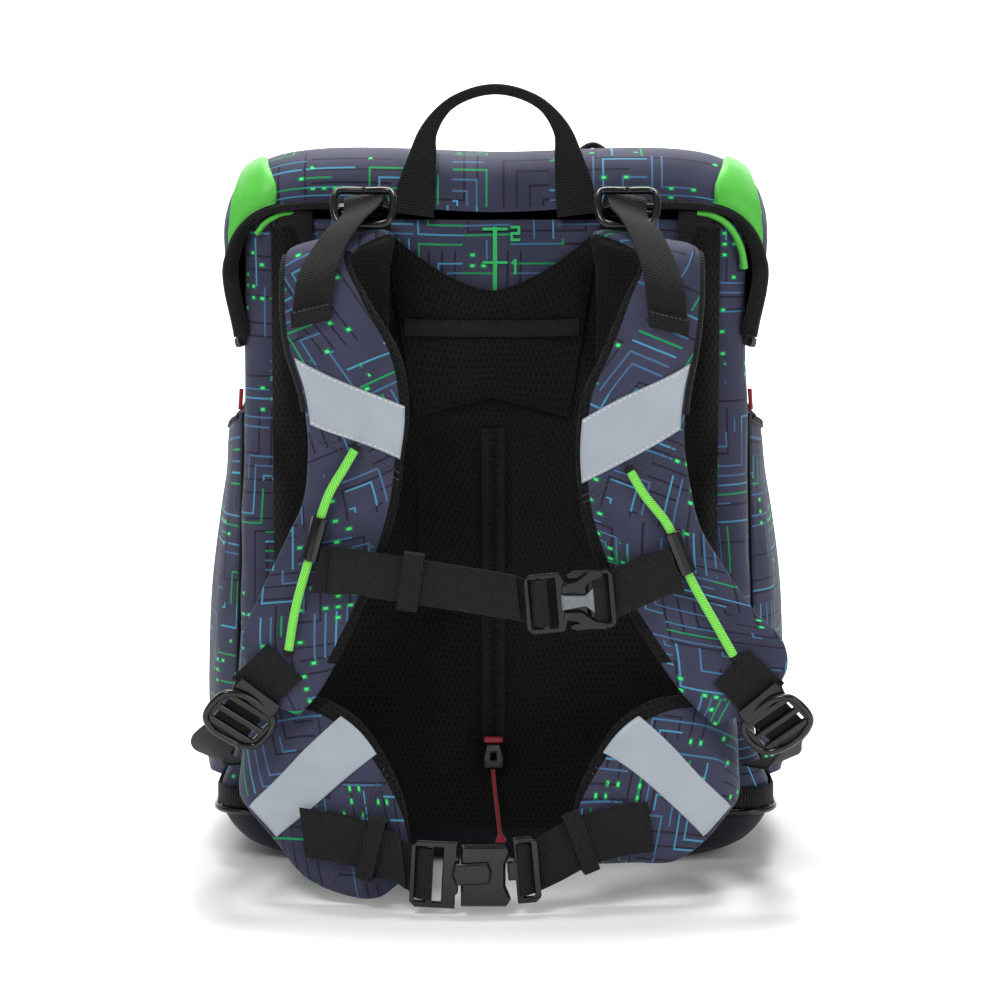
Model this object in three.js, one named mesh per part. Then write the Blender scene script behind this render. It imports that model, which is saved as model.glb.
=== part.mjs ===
// A school ransel: a boxy, stiffened school backpack with a hooded lid, an adjustable mesh back,
// padded shoulder straps, a chest strap and a padded hip belt.
// Millimetres. +X is the viewer's right when the harness faces the viewer, -Y faces the wearer, +Z is up.
// The origin is the middle of the base's flat underside.
import * as THREE from "three";

// Body sizes
const backWidth = 282;
const bodyDepth = 200;
const hingeHeight = 372;
const baseWidth = 318;
const tubHeight = 30;
const tubRound = 40;
const wall = 3;
const trimWall = 1.5;
const bandHeight = 12;
const pipingRadius = 1.8;
const pocketTop = 258;
const pocketBulge = 20;
const clothWall = 2;
const gap = 0.3;

// Lid sizes
const lidWall = 3;
const lidRise = 28.5;
const lidDrop = 185;
const lidOverhang = 8.5;
const bindingWidth = 6;
const bindingThickness = 4.6;
const bindingGap = 1.2;
const capWall = 2;
const capLift = 1.1;

// Harness sizes
const strapReach = 80;
const strapPad = 8;
const strapEdge = 5;
const bolsterWidth = 34;
const bolsterPad = 8.5;
const backPad = 9;
const zipWidth = 13;
const railRadius = 2.4;
const sliderWall = 1.2;
const sliderLength = 24;
const chestWebbing = 25;
const chestReach = strapReach + 20;
const beltWebbing = 28;
const webbingWall = 1.5;
const finReach = 88;
const finPad = 9;
const handleSpan = 91;
const handleRise = 69;
const handleWidth = 23;
const reflectorWall = 0.8;

const halfBack = backWidth / 2;
const backY = -bodyDepth / 2;
const frontY = bodyDepth / 2;
const halfBase = baseWidth / 2;
const bodyFloor = tubHeight + gap;
const bodyTop = hingeHeight - 4;

// Colours of the cloths, webbings and plastics
const finish = (color, roughness, metalness = 0) => new THREE.MeshStandardMaterial({ color, roughness, metalness });
const printedCloth = finish(0x46425c, 0.8);
const baseCloth = finish(0x1a2130, 0.85);
const meshCloth = finish(0x18181a, 0.95);
const webbingCloth = finish(0x1e1e20, 0.85);
const blackPlastic = finish(0x17181a, 0.4);
const greenRubber = finish(0x4cc23a, 0.6);
const greenCord = finish(0x6fdc3f, 0.7);
const reflective = finish(0xb4bcc4, 0.35);
const redCord = finish(0xb01828, 0.7);

const ransel = new THREE.Group();
const vec = (x, y, z) => new THREE.Vector3(x, y, z);
// A point in front of the back wall: x sideways, reach towards the wearer, z up.
const wearer = (x, reach, z) => vec(x, backY - reach, z);
// A height as a share of the hinge's.
const up = (share) => share * hingeHeight;

function add(name, geometry, material) {
  const mesh = new THREE.Mesh(geometry, material);
  mesh.name = name;
  ransel.add(mesh);
  return mesh;
}

function solidFrom(points, faces) {
  const geometry = new THREE.BufferGeometry();
  geometry.setAttribute("position", new THREE.Float32BufferAttribute(points.flatMap((p) => p.toArray()), 3));
  geometry.setIndex(faces.flat());
  geometry.computeVertexNormals();
  return geometry;
}

// Surfaces are functions of u, across, and v, along, both 0 to 1.
function normalOf(surface, u, v) {
  const step = 1e-3;
  const across = surface(Math.min(u + step, 1), v).sub(surface(Math.max(u - step, 0), v));
  const along = surface(u, Math.min(v + step, 1)).sub(surface(u, Math.max(v - step, 0)));
  return across.cross(along).normalize();
}

const offset = (surface, u, v, distance) => surface(u, v).addScaledVector(normalOf(surface, u, v), distance);

const spread = (count) => Array.from({ length: count + 1 }, (_, i) => i / count);

// A smooth surface through rows of points. Rows follow each other along v, and a row's points run across u.
function net(rows) {
  const columns = rows[0].map((_, k) => new THREE.CatmullRomCurve3(rows.map((row) => row[k])));
  return (u, v) => {
    const points = columns.map((column) => column.getPoint(v));
    if (points.length === 2) return points[0].lerp(points[1], u);
    return new THREE.CatmullRomCurve3(points).getPoint(u);
  };
}

// A closed solid round a surface, with its faces low and high mm along the surface's normal.
function sheet(surface, low, high, us, vs) {
  const level = (value, u, v) => (typeof value === "function" ? value(u, v) : value);
  const points = [];
  for (const v of vs) {
    for (const u of us) {
      points.push(offset(surface, u, v, level(high, u, v)));
      points.push(offset(surface, u, v, level(low, u, v)));
    }
  }
  const top = (i, j) => 2 * (j * us.length + i);
  const bottom = (i, j) => top(i, j) + 1;
  const faces = [];
  const quad = (a, b, c, d) => faces.push([a, b, c], [a, c, d]);
  const lastU = us.length - 1;
  const lastV = vs.length - 1;
  for (let j = 0; j < lastV; j++) {
    for (let i = 0; i < lastU; i++) {
      quad(top(i, j), top(i + 1, j), top(i + 1, j + 1), top(i, j + 1));
      quad(bottom(i, j), bottom(i, j + 1), bottom(i + 1, j + 1), bottom(i + 1, j));
    }
    quad(bottom(0, j), top(0, j), top(0, j + 1), bottom(0, j + 1));
    quad(top(lastU, j + 1), top(lastU, j), bottom(lastU, j), bottom(lastU, j + 1));
  }
  for (let i = 0; i < lastU; i++) {
    quad(top(i, 0), bottom(i, 0), bottom(i + 1, 0), top(i + 1, 0));
    quad(bottom(i, lastV), top(i, lastV), top(i + 1, lastV), bottom(i + 1, lastV));
  }
  return solidFrom(points, faces);
}

// Padding that is thinner at its edges across u.
const padded = (edge, middle) => (u) => edge + (middle - edge) * (1 - (2 * u - 1) ** 4);

// A horizontal ring with round corners, anticlockwise seen from above. bow swells the sides and the front.
function ring({ half, back, front, backRadius, frontRadius, z, bow = 0 }) {
  const corners = [
    [half - backRadius, back + backRadius, -Math.PI / 2, backRadius],
    [half - frontRadius, front - frontRadius, 0, frontRadius],
    [-half + frontRadius, front - frontRadius, Math.PI / 2, frontRadius],
    [-half + backRadius, back + backRadius, Math.PI, backRadius],
  ];
  const swell = { 0: [bow, 0], 1: [0, bow], 2: [-bow, 0], 3: [0, 0] };
  const points = [];
  corners.forEach(([x, y, start, radius], k) => {
    for (const t of spread(3)) {
      const angle = start + (t * Math.PI) / 2;
      points.push(vec(x + radius * Math.cos(angle), y + radius * Math.sin(angle), z));
    }
    const next = corners[(k + 1) % 4];
    const end = vec(next[0] + next[3] * Math.cos(next[2]), next[1] + next[3] * Math.sin(next[2]), z);
    const from = points[points.length - 1].clone();
    for (const t of [0.2, 0.5, 0.8]) {
      const middle = from.clone().lerp(end, t);
      const rise = Math.sin(Math.PI * t);
      points.push(middle.add(vec(swell[k][0] * rise, swell[k][1] * rise, 0)));
    }
  });
  return points;
}

// Joins rings into a wall. A closed wall runs up its outside and down its inside; a pot is capped at both ends.
function lathed(rings, capped) {
  const count = rings[0].length;
  const points = rings.flat();
  const faces = [];
  const last = capped ? rings.length - 1 : rings.length;
  for (let i = 0; i < last; i++) {
    const a = i * count;
    const b = ((i + 1) % rings.length) * count;
    for (let j = 0; j < count; j++) {
      const k = (j + 1) % count;
      faces.push([a + j, a + k, b + k], [a + j, b + k, b + j]);
    }
  }
  if (capped) {
    const middle = (some) => some.reduce((sum, p) => sum.add(p), vec(0, 0, 0)).divideScalar(some.length);
    points.push(middle(rings[0]), middle(rings[rings.length - 1]));
    const end = (rings.length - 1) * count;
    for (let j = 0; j < count; j++) {
      const k = (j + 1) % count;
      faces.push([points.length - 2, k, j], [points.length - 1, end + j, end + k]);
    }
  }
  return solidFrom(points, faces);
}

// The base tub: a stiff cloth-covered tray with a flat underside and a broad round edge.
const tubRows = [
  { height: 0, inset: 1 },
  { height: 0.08, inset: 0.68 },
  { height: 0.3, inset: 0.36 },
  { height: 0.6, inset: 0.16 },
  { height: 1, inset: 0 },
];

function tubRing({ height, inset }, thickness) {
  return ring({
    half: halfBase - inset * tubRound - thickness,
    back: backY + inset * tubRound * 0.6 + thickness,
    front: frontY + wall - inset * tubRound * 0.6 - thickness,
    backRadius: 30 - thickness,
    frontRadius: 42 - thickness,
    z: Math.max(height * tubHeight, thickness),
  });
}

function baseTub() {
  const outside = tubRows.map((row) => tubRing(row, 0));
  const inside = tubRows.slice(1).reverse().map((row) => tubRing(row, wall));
  return lathed([...outside, ...inside], true);
}

// The body: a stiffened sleeve of printed cloth that flares onto the tub's rim.
// height is a share of the way from the tub to the top, flare of the base's overhang, bow in mm shares of the wall.
const bodyRows = [
  { height: 0, flare: 0.95, bow: 0 },
  { height: 0.045, flare: 0.9, bow: 0 },
  { height: 0.1, flare: 0.45, bow: 0.5 },
  { height: 0.3, flare: 0.28, bow: 1.3 },
  { height: 0.55, flare: 0.12, bow: 1.3 },
  { height: 0.8, flare: 0, bow: 0.8 },
  { height: 1, flare: 0, bow: 0.3 },
];

const bodyZ = (height) => bodyFloor + height * (bodyTop - bodyFloor);

function bodyRing(row, outward, z = bodyZ(row.height)) {
  return ring({
    half: halfBack + row.flare * (halfBase - halfBack) + outward,
    back: backY - outward,
    front: frontY + outward,
    backRadius: 18 + outward,
    frontRadius: 34 + outward,
    z,
    bow: row.bow * wall,
  });
}

function bodyShell() {
  const outside = bodyRows.map((row) => bodyRing(row, 0));
  const inside = [...bodyRows].reverse().map((row) => bodyRing(row, -wall));
  return lathed([...outside, ...inside], false);
}

// The black trim band and the glossy piping that run round the bag on the tub's rim.
function baseBand() {
  const low = bodyFloor + 2 * pipingRadius;
  const rows = [low, low + bandHeight].map((z) => ({ row: bodyRows[0], z }));
  const outside = rows.map(({ row, z }) => bodyRing(row, gap + trimWall, z));
  const inside = [...rows].reverse().map(({ row, z }) => bodyRing(row, gap, z));
  return lathed([...outside, ...inside], false);
}

function basePiping() {
  const sides = 5;
  const middle = tubHeight + gap + pipingRadius;
  const rings = spread(sides).slice(0, sides).map((t) => {
    const angle = 2 * Math.PI * t - Math.PI;
    const outward = gap + pipingRadius * (1 + Math.cos(angle));
    return bodyRing(bodyRows[0], outward, middle + pipingRadius * Math.sin(angle));
  });
  return lathed(rings, false);
}

function bodySide(z) {
  const height = Math.min(Math.max((z - bodyFloor) / (bodyTop - bodyFloor), 0), 1);
  const next = Math.max(bodyRows.findIndex((row) => row.height >= height), 1);
  const [a, b] = [bodyRows[next - 1], bodyRows[next]];
  const t = (height - a.height) / (b.height - a.height);
  return halfBack + (a.flare + (b.flare - a.flare) * t) * (halfBase - halfBack);
}

// The side pockets: cloth bags that stand off the body and are open at the top. height and dip are shares of
// the pocket's height, and dip is how far the mouth sags half way along. bulge is a share of pocketBulge.
const pocketFoot = tubHeight + 18;
const pocketRows = [
  { height: 1, bulge: 0.5, dip: 0.065 },
  { height: 0.95, bulge: 0.54, dip: 0.045 },
  { height: 0.84, bulge: 0.6, dip: 0.02 },
  { height: 0.7, bulge: 0.78, dip: 0 },
  { height: 0.49, bulge: 1, dip: 0 },
  { height: 0.22, bulge: 1, dip: 0 },
  { height: 0.06, bulge: 0.85, dip: 0 },
  { height: 0, bulge: 0.6, dip: 0 },
];

function sidePocket(side) {
  const surface = net(pocketRows.map(({ height, bulge, dip }) => {
    return spread(8).map((t) => {
      const along = side < 0 ? t : 1 - t;
      const sag = dip * Math.sin(Math.PI * t);
      const z = pocketFoot + (height - sag) * (pocketTop - pocketFoot);
      const seat = bodySide(z) + 0.5 + gap;
      const swell = Math.sqrt(Math.sin(Math.PI * t));
      return vec(side * (seat + bulge * pocketBulge * swell), backY + 24 + along * (bodyDepth - 62), z);
    });
  }));
  return sheet(surface, 0, clothWall, spread(8), spread(pocketRows.length - 1));
}

// The red zip pulls that hang from the pocket tops.
function pocketPull(side) {
  return hose([
    vec(side * (halfBack + 3), backY + 21, pocketTop + 14),
    vec(side * (halfBack + 3.4), backY + 20.5, pocketTop + 8),
    vec(side * (halfBack + 3.8), backY + 20, pocketTop + 2),
  ], 1.3, 6, 2);
}

// A round cord or rod along a path. radius is one size or a function of the share of the length.
function hose(path, radius, sides, steps) {
  const curve = new THREE.CatmullRomCurve3(path);
  const frames = curve.computeFrenetFrames(steps, false);
  const size = (t) => (typeof radius === "function" ? radius(t) : radius);
  const rings = spread(steps).map((t, k) => spread(sides).slice(0, sides).map((s) => {
    const angle = 2 * Math.PI * s;
    return curve.getPointAt(t)
      .addScaledVector(frames.normals[k], size(t) * Math.cos(angle))
      .addScaledVector(frames.binormals[k], size(t) * Math.sin(angle));
  }));
  return lathed(rings, true);
}

// The lid: a stiff hood hinged on the back wall, with side flaps and a front that comes half way down.
// Each row runs from a free edge over the shoulder to the middle; x is mirrored for the other side.
// x is a share of the lid's half width, y of half the body's depth, and z of the lid's rise above the
// hinge where it is positive, or of its drop below the hinge where it is negative.
const lidRows = [
  { edge: [0.9431, -0.91, -0.373], low: [0.9766, -0.95, -0.1405], high: [0.8562, -1, 0.014], middle: [-1, 0.014] },
  { edge: [0.9632, -0.78, -0.3838], low: [0.9833, -0.88, -0.0216], high: [0.8161, -0.985, 0.4912], middle: [-0.995, 0.5613] },
  { edge: [0.9699, -0.6, -0.3892], low: [0.9933, -0.7, 0.0702], high: [0.8227, -0.88, 0.8421], middle: [-0.9, 0.9298] },
  { edge: [0.9732, 0, -0.4], low: [1, 0, 0.2807], high: [0.8629, 0, 0.8947], middle: [0, 1] },
  { edge: [0.9732, 0.5, -0.4324], low: [1, 0.6, 0.2105], high: [0.8763, 0.75, 0.8245], middle: [0.8, 0.9298] },
  { edge: [0.9632, 0.84, -0.5081], low: [0.99, 0.95, -0.0216], high: [0.8294, 1.03, 0.5613], middle: [1.08, 0.6316] },
  { edge: [0.9164, 1.04, -0.6162], low: [0.9365, 1.07, -0.3351], high: [0.7625, 1.13, -0.173], middle: [1.15, -0.1622] },
  { edge: [0.8161, 1.08, -0.8108], low: [0.8294, 1.11, -0.6595], high: [0.602, 1.14, -0.5946], middle: [1.16, -0.5946] },
  { edge: [0.6689, 1.11, -0.9405], low: [0.6288, 1.12, -0.9622], high: [0.3746, 1.15, -0.9892], middle: [1.16, -1] },
];

const lidHeight = (share) => hingeHeight + share * (share > 0 ? lidRise : lidDrop);
const lidPoint = (x, y, z) => vec(x * (halfBack + lidOverhang), y * frontY, lidHeight(z));

const lidSurface = net(lidRows.map(({ edge, low, high, middle }) => {
  const right = [high, low, edge].map(([x, y, z]) => lidPoint(x, y, z));
  const left = [...right].reverse().map((p) => vec(-p.x, p.y, p.z));
  return [...left, lidPoint(0, middle[0], middle[1]), ...right];
}));

const lidAcross = [0, 0.08, 0.17, 0.22, 0.27, 0.33, 0.5, 0.67, 0.73, 0.78, 0.83, 0.92, 1];
const lidAlong = spread(15);

const lid = () => sheet(lidSurface, 0, lidWall, lidAcross, lidAlong);

// The green rubber caps that guard the lid's back corners. Each narrows to a point towards the front.
function lidCap(side) {
  const surface = (a, t) => {
    const outer = 0.165 + 0.13 * t;
    const inner = 0.345 - 0.035 * t;
    const share = outer + (inner - outer) * (side < 0 ? a : 1 - a);
    return lidSurface(side < 0 ? share : 1 - share, 0.025 + 0.395 * t);
  };
  return sheet(surface, lidWall + capLift, lidWall + capLift + capWall, spread(5), spread(5));
}

// The binding: black webbing folded over the free edge of both flaps, standing clear of the lid's own edge.
function lidBinding(side) {
  const u = side < 0 ? 0 : 1;
  const rings = lidAlong.map((t) => {
    const edge = lidSurface(u, t);
    const inward = lidSurface(side < 0 ? lidAcross[1] : lidAcross.at(-2), t).sub(edge).normalize();
    const face = normalOf(lidSurface, u, t);
    const middle = edge.clone().addScaledVector(face, lidWall / 2);
    const corner = (away, rise) => middle.clone().addScaledVector(inward, -away).addScaledVector(face, rise);
    const half = bindingThickness / 2;
    return [corner(bindingGap, -half), corner(bindingGap, half), corner(bindingWidth, half * 0.7), corner(bindingWidth, -half * 0.7)];
  });
  return lathed(side < 0 ? rings.map((ring) => [...ring].reverse()) : rings, true);
}

// The carrying handle: a webbing loop, flat where it is sewn in and folded narrow at the grip.
// side is a share of half the span and rise of the handle's rise over the hinge. width is seen from the
// harness side and is a share of the webbing's width; depth runs front to back and is a share of the grip's.
const handleGrip = 13;
const handleRows = [
  { side: 1, rise: 0, reach: 4.4, width: 1, depth: 0.138 },
  { side: 0.956, rise: 0.217, reach: 4.6, width: 0.913, depth: 0.169 },
  { side: 0.89, rise: 0.449, reach: 4.5, width: 0.696, depth: 0.385 },
  { side: 0.813, rise: 0.667, reach: 2, width: 0.435, depth: 0.692 },
  { side: 0.593, rise: 0.862, reach: 1, width: 0.283, depth: 0.923 },
  { side: 0.308, rise: 0.964, reach: 1, width: 0.261, depth: 1 },
  { side: 0, rise: 1, reach: 1, width: 0.261, depth: 1 },
];

const handleSection = [[-1, 0.6], [-0.6, 1], [0.6, 1], [1, 0.6], [1, -0.6], [0.6, -1], [-0.6, -1], [-1, -0.6]];

function handle() {
  const sized = handleRows.map(({ side, rise, reach, width, depth }) => ({
    x: (side * handleSpan) / 2,
    z: hingeHeight - 1 + rise * handleRise,
    reach,
    width: width * handleWidth,
    depth: depth * handleGrip,
  }));
  const left = sized.map((row) => ({ ...row, x: -row.x }));
  const rows = [...left, ...sized.slice(0, -1).reverse()];
  const path = new THREE.CatmullRomCurve3(rows.map(({ x, reach, z }) => wearer(x, reach, z)));
  const rings = rows.map(({ width, depth }, k) => {
    const along = path.getTangent(k / (rows.length - 1));
    const across = vec(0, 1, 0).cross(along).normalize();
    return handleSection.map(([a, b]) =>
      path.getPoint(k / (rows.length - 1))
        .addScaledVector(across, (-a * width) / 2)
        .add(vec(0, (b * depth) / 2, 0)));
  });
  return lathed(rings, true);
}

// A flat webbing through a table of stations, each with its height as a share of the hinge's. turn is the
// direction of its width, in degrees from +x towards +z.
function webbing(stations, width, thickness = webbingWall) {
  const rows = stations.map(({ x, reach, z, turn, at, across }) => {
    const rad = (turn * Math.PI) / 180;
    const half = (across || vec(Math.cos(rad), 0, Math.sin(rad))).clone().multiplyScalar(width / 2);
    const middle = at || wearer(x, reach, up(z));
    return [middle.clone().sub(half), middle.clone().add(half)];
  });
  return sheet(net(rows), -thickness / 2, thickness / 2, [0, 0.5, 1], spread(rows.length - 1));
}

// A flat moulded plate, drawn in x and z, with chamfered faces and with slots through it.
function plate(outline, slots, thickness, chamfer = 0.6) {
  const shape = new THREE.Shape(outline.map(([x, z]) => new THREE.Vector2(x, z)));
  slots.forEach(({ x, half, width }, k) => {
    // Each further slot is a little longer, so that no two slots' corners lie on one line.
    const end = half + 0.2 * k;
    const corners = [[x - width / 2, -end], [x - width / 2, end], [x + width / 2, end], [x + width / 2, -end]];
    shape.holes.push(new THREE.Path(corners.map(([a, b]) => new THREE.Vector2(a, b))));
  });
  const geometry = new THREE.ExtrudeGeometry(shape, {
    depth: thickness - 2 * chamfer,
    bevelThickness: chamfer,
    bevelSize: chamfer,
    bevelOffset: -chamfer,
    bevelSegments: 1,
  });
  geometry.translate(0, 0, chamfer - thickness / 2);
  return geometry.rotateX(Math.PI / 2);
}

// Turns a plate in its own plane, leans it back, swings it sideways and puts it in place. z is a share of the
// hinge's height.
function placed(geometry, { x, reach, z, turn = 0, lean = 0, swing = 0 }) {
  const rad = Math.PI / 180;
  geometry.rotateY(-turn * rad).rotateX(lean * rad).rotateZ(swing * rad);
  return geometry.translate(x, backY - reach, up(z));
}

const chamferedBox = (length, height, cut) => {
  const [a, b] = [length / 2, height / 2];
  return [[-a + cut, -b], [a - cut, -b], [a, -b + cut], [a, b - cut], [a - cut, b], [-a + cut, b], [-a, b - cut], [-a, -b + cut]];
};

// A ladder lock: a frame with two slots and a bar between them, for a webbing of the given width.
const slotWidth = 5;
const barWidth = 3.5;
function ladderLock(webbingWidth) {
  const slot = webbingWidth / 2 + 0.7;
  const length = 2 * slotWidth + 3 * barWidth + 1;
  const offsetX = (slotWidth + barWidth) / 2;
  const slots = [{ x: -offsetX, half: slot, width: slotWidth }, { x: offsetX, half: slot, width: slotWidth }];
  return plate(chamferedBox(length, 2 * slot + 7, 3), slots, 3);
}

// The back: a height field of padding over the back wall. Every rise is in mm.
const yokeTop = (x) => up(0.8844) + 35 * Math.pow(Math.min(Math.abs(x + 2) / 60, 1), 1.6);
const yokeBottom = (x) => up(0.7231) - 0.25 * Math.abs(x + 2);
const panelHalf = 0.73 * halfBack;
const panelBase = 24;
const panelRest = 3;

// A pad's rise is full in its middle and falls to nothing at its edges.
const pads = [
  { x: 26.5, z: up(0.5376), halfX: 17.5, halfZ: up(0.1237), rise: backPad * 0.8 },
  { x: 54, z: up(0.2634), halfX: 43, halfZ: up(0.1344), rise: backPad },
  { x: 78, z: up(0.5323), halfX: 25, halfZ: up(0.1237), rise: backPad * 0.4 },
];

function panelRise(x, z) {
  const rises = pads.map((pad) => {
    const a = Math.min(Math.abs(Math.abs(x) - pad.x) / pad.halfX, 1);
    const b = Math.min(Math.abs(z - pad.z) / pad.halfZ, 1);
    return pad.rise * (1 - a ** 4) * (1 - b ** 4);
  });
  return panelRest + Math.max(...rises);
}

function backPanel() {
  const surface = (u, v) => {
    const x = panelHalf * (1 - 2 * u);
    const top = Math.min(yokeTop(x) - 6, up(0.941));
    return wearer(x, 0, top + (panelBase - top) * v);
  };
  const low = (u, v) => (surface(u, v).z > bodyFloor + 22 ? gap : 2 * pipingRadius + 2 * gap + 0.2);
  const high = (u, v) => low(u, v) + panelRise(surface(u, v).x, surface(u, v).z);
  const across = [-1, -0.88, -0.66, -0.43, -0.26, -0.14, -0.083, 0, 0.083, 0.14, 0.26, 0.43, 0.66, 0.88, 1].map((x) => (1 - x) / 2);
  return sheet(surface, low, high, across.reverse(), spread(15));
}

// The long mesh bolsters down both sides of the back, with a hollow half way.
function sideBolster(side) {
  const [top, bottom] = [up(0.9785), up(0.3065)];
  const surface = (u, v) => wearer(side * 0.819 * halfBack + bolsterWidth * 0.27 * (1 - 2 * u), 0, top + (bottom - top) * v);
  const high = (u, v) => {
    const z = top + (bottom - top) * v;
    const hollow = Math.exp(-(((z - up(0.6452)) / 16) ** 2));
    const end = Math.min(1, (1 - v) * 8 + 0.2, v * 5 + 0.25);
    return gap + 1.6 + bolsterPad * (1 - 0.8 * hollow) * end * Math.sin(Math.PI * (0.1 + 0.8 * u));
  };
  return sheet(surface, gap, high, spread(4), spread(14));
}

// The yoke between the shoulder straps, which slides up and down the back to set its length.
const yokeRise = 6;
const yokeSeat = panelRest + 2 * gap;

function yokePoint(u, v) {
  const half = 60 - 17 * v;
  const x = half * (1 - 2 * u) - 2;
  return wearer(x, 0, yokeTop(x * (60 / half)) + (yokeBottom(x) - yokeTop(x * (60 / half))) * v);
}

const yokeHeight = (u, v) => yokeSeat + 2 + yokeRise * (1 - (2 * u - 1) ** 4) * (1 - (2 * v - 1) ** 6);
const yoke = () => sheet(yokePoint, yokeSeat, yokeHeight, spread(8), spread(7));

// The webbing stitched across the yoke.
function yokeBand() {
  const height = yokeSeat + 2 + yokeRise + 1.2;
  return webbing([
    { x: -50, reach: height - 4, z: 0.83065, turn: 90 },
    { x: -42, reach: height, z: 0.83065, turn: 90 },
    { x: -22, reach: height, z: 0.8293, turn: 90 },
    { x: 0, reach: height, z: 0.8293, turn: 90 },
    { x: 20, reach: height, z: 0.8293, turn: 90 },
    { x: 38, reach: height, z: 0.83065, turn: 90 },
    { x: 46, reach: height - 4, z: 0.83065, turn: 90 },
  ], 9);
}

// The zip that the yoke slides on, its slider and its pull cord.
const zipReach = panelRest + 2 * gap;
const zipTop = up(0.6774);
const zipBottom = up(0.1989);

function zip() {
  const surface = (u, v) => wearer(-1.2 + zipWidth * (0.5 - u), 0, zipTop + (zipBottom - zipTop) * v);
  const high = (u) => zipReach + 1 + 1.4 * Math.max(0, 1 - Math.abs(2 * u - 1) * 1.6);
  return sheet(surface, zipReach, high, [0, 0.2, 0.4, 0.6, 0.8, 1], spread(6));
}

const sliderPlace = 0.17742;
const barAboveSlider = 9.4;

function zipSlider() {
  const body = plate([[-5, -7], [5, -7], [5.5, 0], [4, 7], [-4, 7], [-5.5, 0]], [{ x: 0, half: 2, width: 3 }], 4);
  return placed(body, { x: -1.2, reach: zipReach + 2.4 + gap + 2, z: sliderPlace });
}

const zipBar = () => placed(plate(chamferedBox(11, 3.4, 0.8), [], 3.6), {
  x: -1.2, reach: zipReach + 2.4 + gap + 2, z: sliderPlace + barAboveSlider / hingeHeight,
});

function pullCord() {
  const knot = (t) => 1.15 + 1.7 * Math.exp(-(((t - 0.9) / 0.06) ** 2));
  return hose([
    wearer(-1.5, zipReach + 7, 58.4),
    wearer(-0.6, 16, 50),
    wearer(0.8, 17, 38),
    wearer(2.2, 16.5, 26),
    wearer(3.6, 16.5, 14.5),
  ], knot, 5, 12);
}

// The shoulder straps: padded bands that rise from the yoke, fold over and fall to the lower buckles.
// inner and outer are the two edges' distances from the middle, as shares of half the back's width, each
// with its own height as a share of the hinge's. reach is a share of strapReach.
const strapRise = [
  { inner: 0.4184, innerZ: 0.7849, outer: 0.6738, outerZ: 0.7043, reach: 0.1038 },
  { inner: 0.4184, innerZ: 0.8548, outer: 0.7092, outerZ: 0.7957, reach: 0.1562 },
  { inner: 0.4113, innerZ: 0.9194, outer: 0.7376, outerZ: 0.8763, reach: 0.2875 },
  { inner: 0.3901, innerZ: 0.9677, outer: 0.7518, outerZ: 0.9355, reach: 0.5 },
  { inner: 0.4255, innerZ: 0.9731, outer: 0.7801, outerZ: 0.9489, reach: 0.725 },
];

const strapLeft = [
  ...strapRise,
  { inner: 0.5461, innerZ: 0.9435, outer: 0.7943, outerZ: 0.9382, reach: 0.925 },
  { inner: 0.4787, innerZ: 0.8871, outer: 0.7979, outerZ: 0.8844, reach: 1.025 },
  { inner: 0.3617, innerZ: 0.8118, outer: 0.7837, outerZ: 0.8199, reach: 1.0625 },
  { inner: 0.3298, innerZ: 0.7634, outer: 0.7305, outerZ: 0.7527, reach: 1.075 },
  { inner: 0.3262, innerZ: 0.7124, outer: 0.7092, outerZ: 0.6962, reach: 1.0875 },
  { inner: 0.344, innerZ: 0.6613, outer: 0.7092, outerZ: 0.6532, reach: 1.0875 },
  { inner: 0.3652, innerZ: 0.5968, outer: 0.727, outerZ: 0.5968, reach: 1.075 },
  { inner: 0.4184, innerZ: 0.5215, outer: 0.7908, outerZ: 0.543, reach: 1.075 },
  { inner: 0.5106, innerZ: 0.4328, outer: 0.8865, outerZ: 0.4677, reach: 1.0625 },
  { inner: 0.6028, innerZ: 0.3629, outer: 0.9645, outerZ: 0.3952, reach: 1.0625 },
  { inner: 0.6773, innerZ: 0.3145, outer: 0.9433, outerZ: 0.3495, reach: 1.0625 },
  { inner: 0.7518, innerZ: 0.2823, outer: 0.8511, outerZ: 0.3065, reach: 1.0625 },
];

const strapRight = [
  ...strapRise.map((row) => ({ ...row, inner: row.inner - 0.0213, outer: row.outer - 0.0142 })),
  { inner: 0.5461, innerZ: 0.9435, outer: 0.773, outerZ: 0.9435, reach: 0.925 },
  { inner: 0.4823, innerZ: 0.8844, outer: 0.773, outerZ: 0.8844, reach: 1.025 },
  { inner: 0.3972, innerZ: 0.8065, outer: 0.7518, outerZ: 0.8091, reach: 1.0625 },
  { inner: 0.3298, innerZ: 0.7527, outer: 0.7234, outerZ: 0.75, reach: 1.075 },
  { inner: 0.305, innerZ: 0.6855, outer: 0.7128, outerZ: 0.6882, reach: 1.0875 },
  { inner: 0.3085, innerZ: 0.6263, outer: 0.734, outerZ: 0.6263, reach: 1.0875 },
  { inner: 0.3333, innerZ: 0.5672, outer: 0.7766, outerZ: 0.5591, reach: 1.075 },
  { inner: 0.3936, innerZ: 0.5, outer: 0.8652, outerZ: 0.5027, reach: 1.075 },
  { inner: 0.5035, innerZ: 0.4328, outer: 0.9929, outerZ: 0.4328, reach: 1.0625 },
  { inner: 0.617, innerZ: 0.3656, outer: 1.0993, outerZ: 0.3898, reach: 1.0625 },
  { inner: 0.7376, innerZ: 0.3038, outer: 1.1099, outerZ: 0.3441, reach: 1.0625 },
  { inner: 0.8369, innerZ: 0.2688, outer: 0.9787, outerZ: 0.2957, reach: 1.0625 },
];

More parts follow.
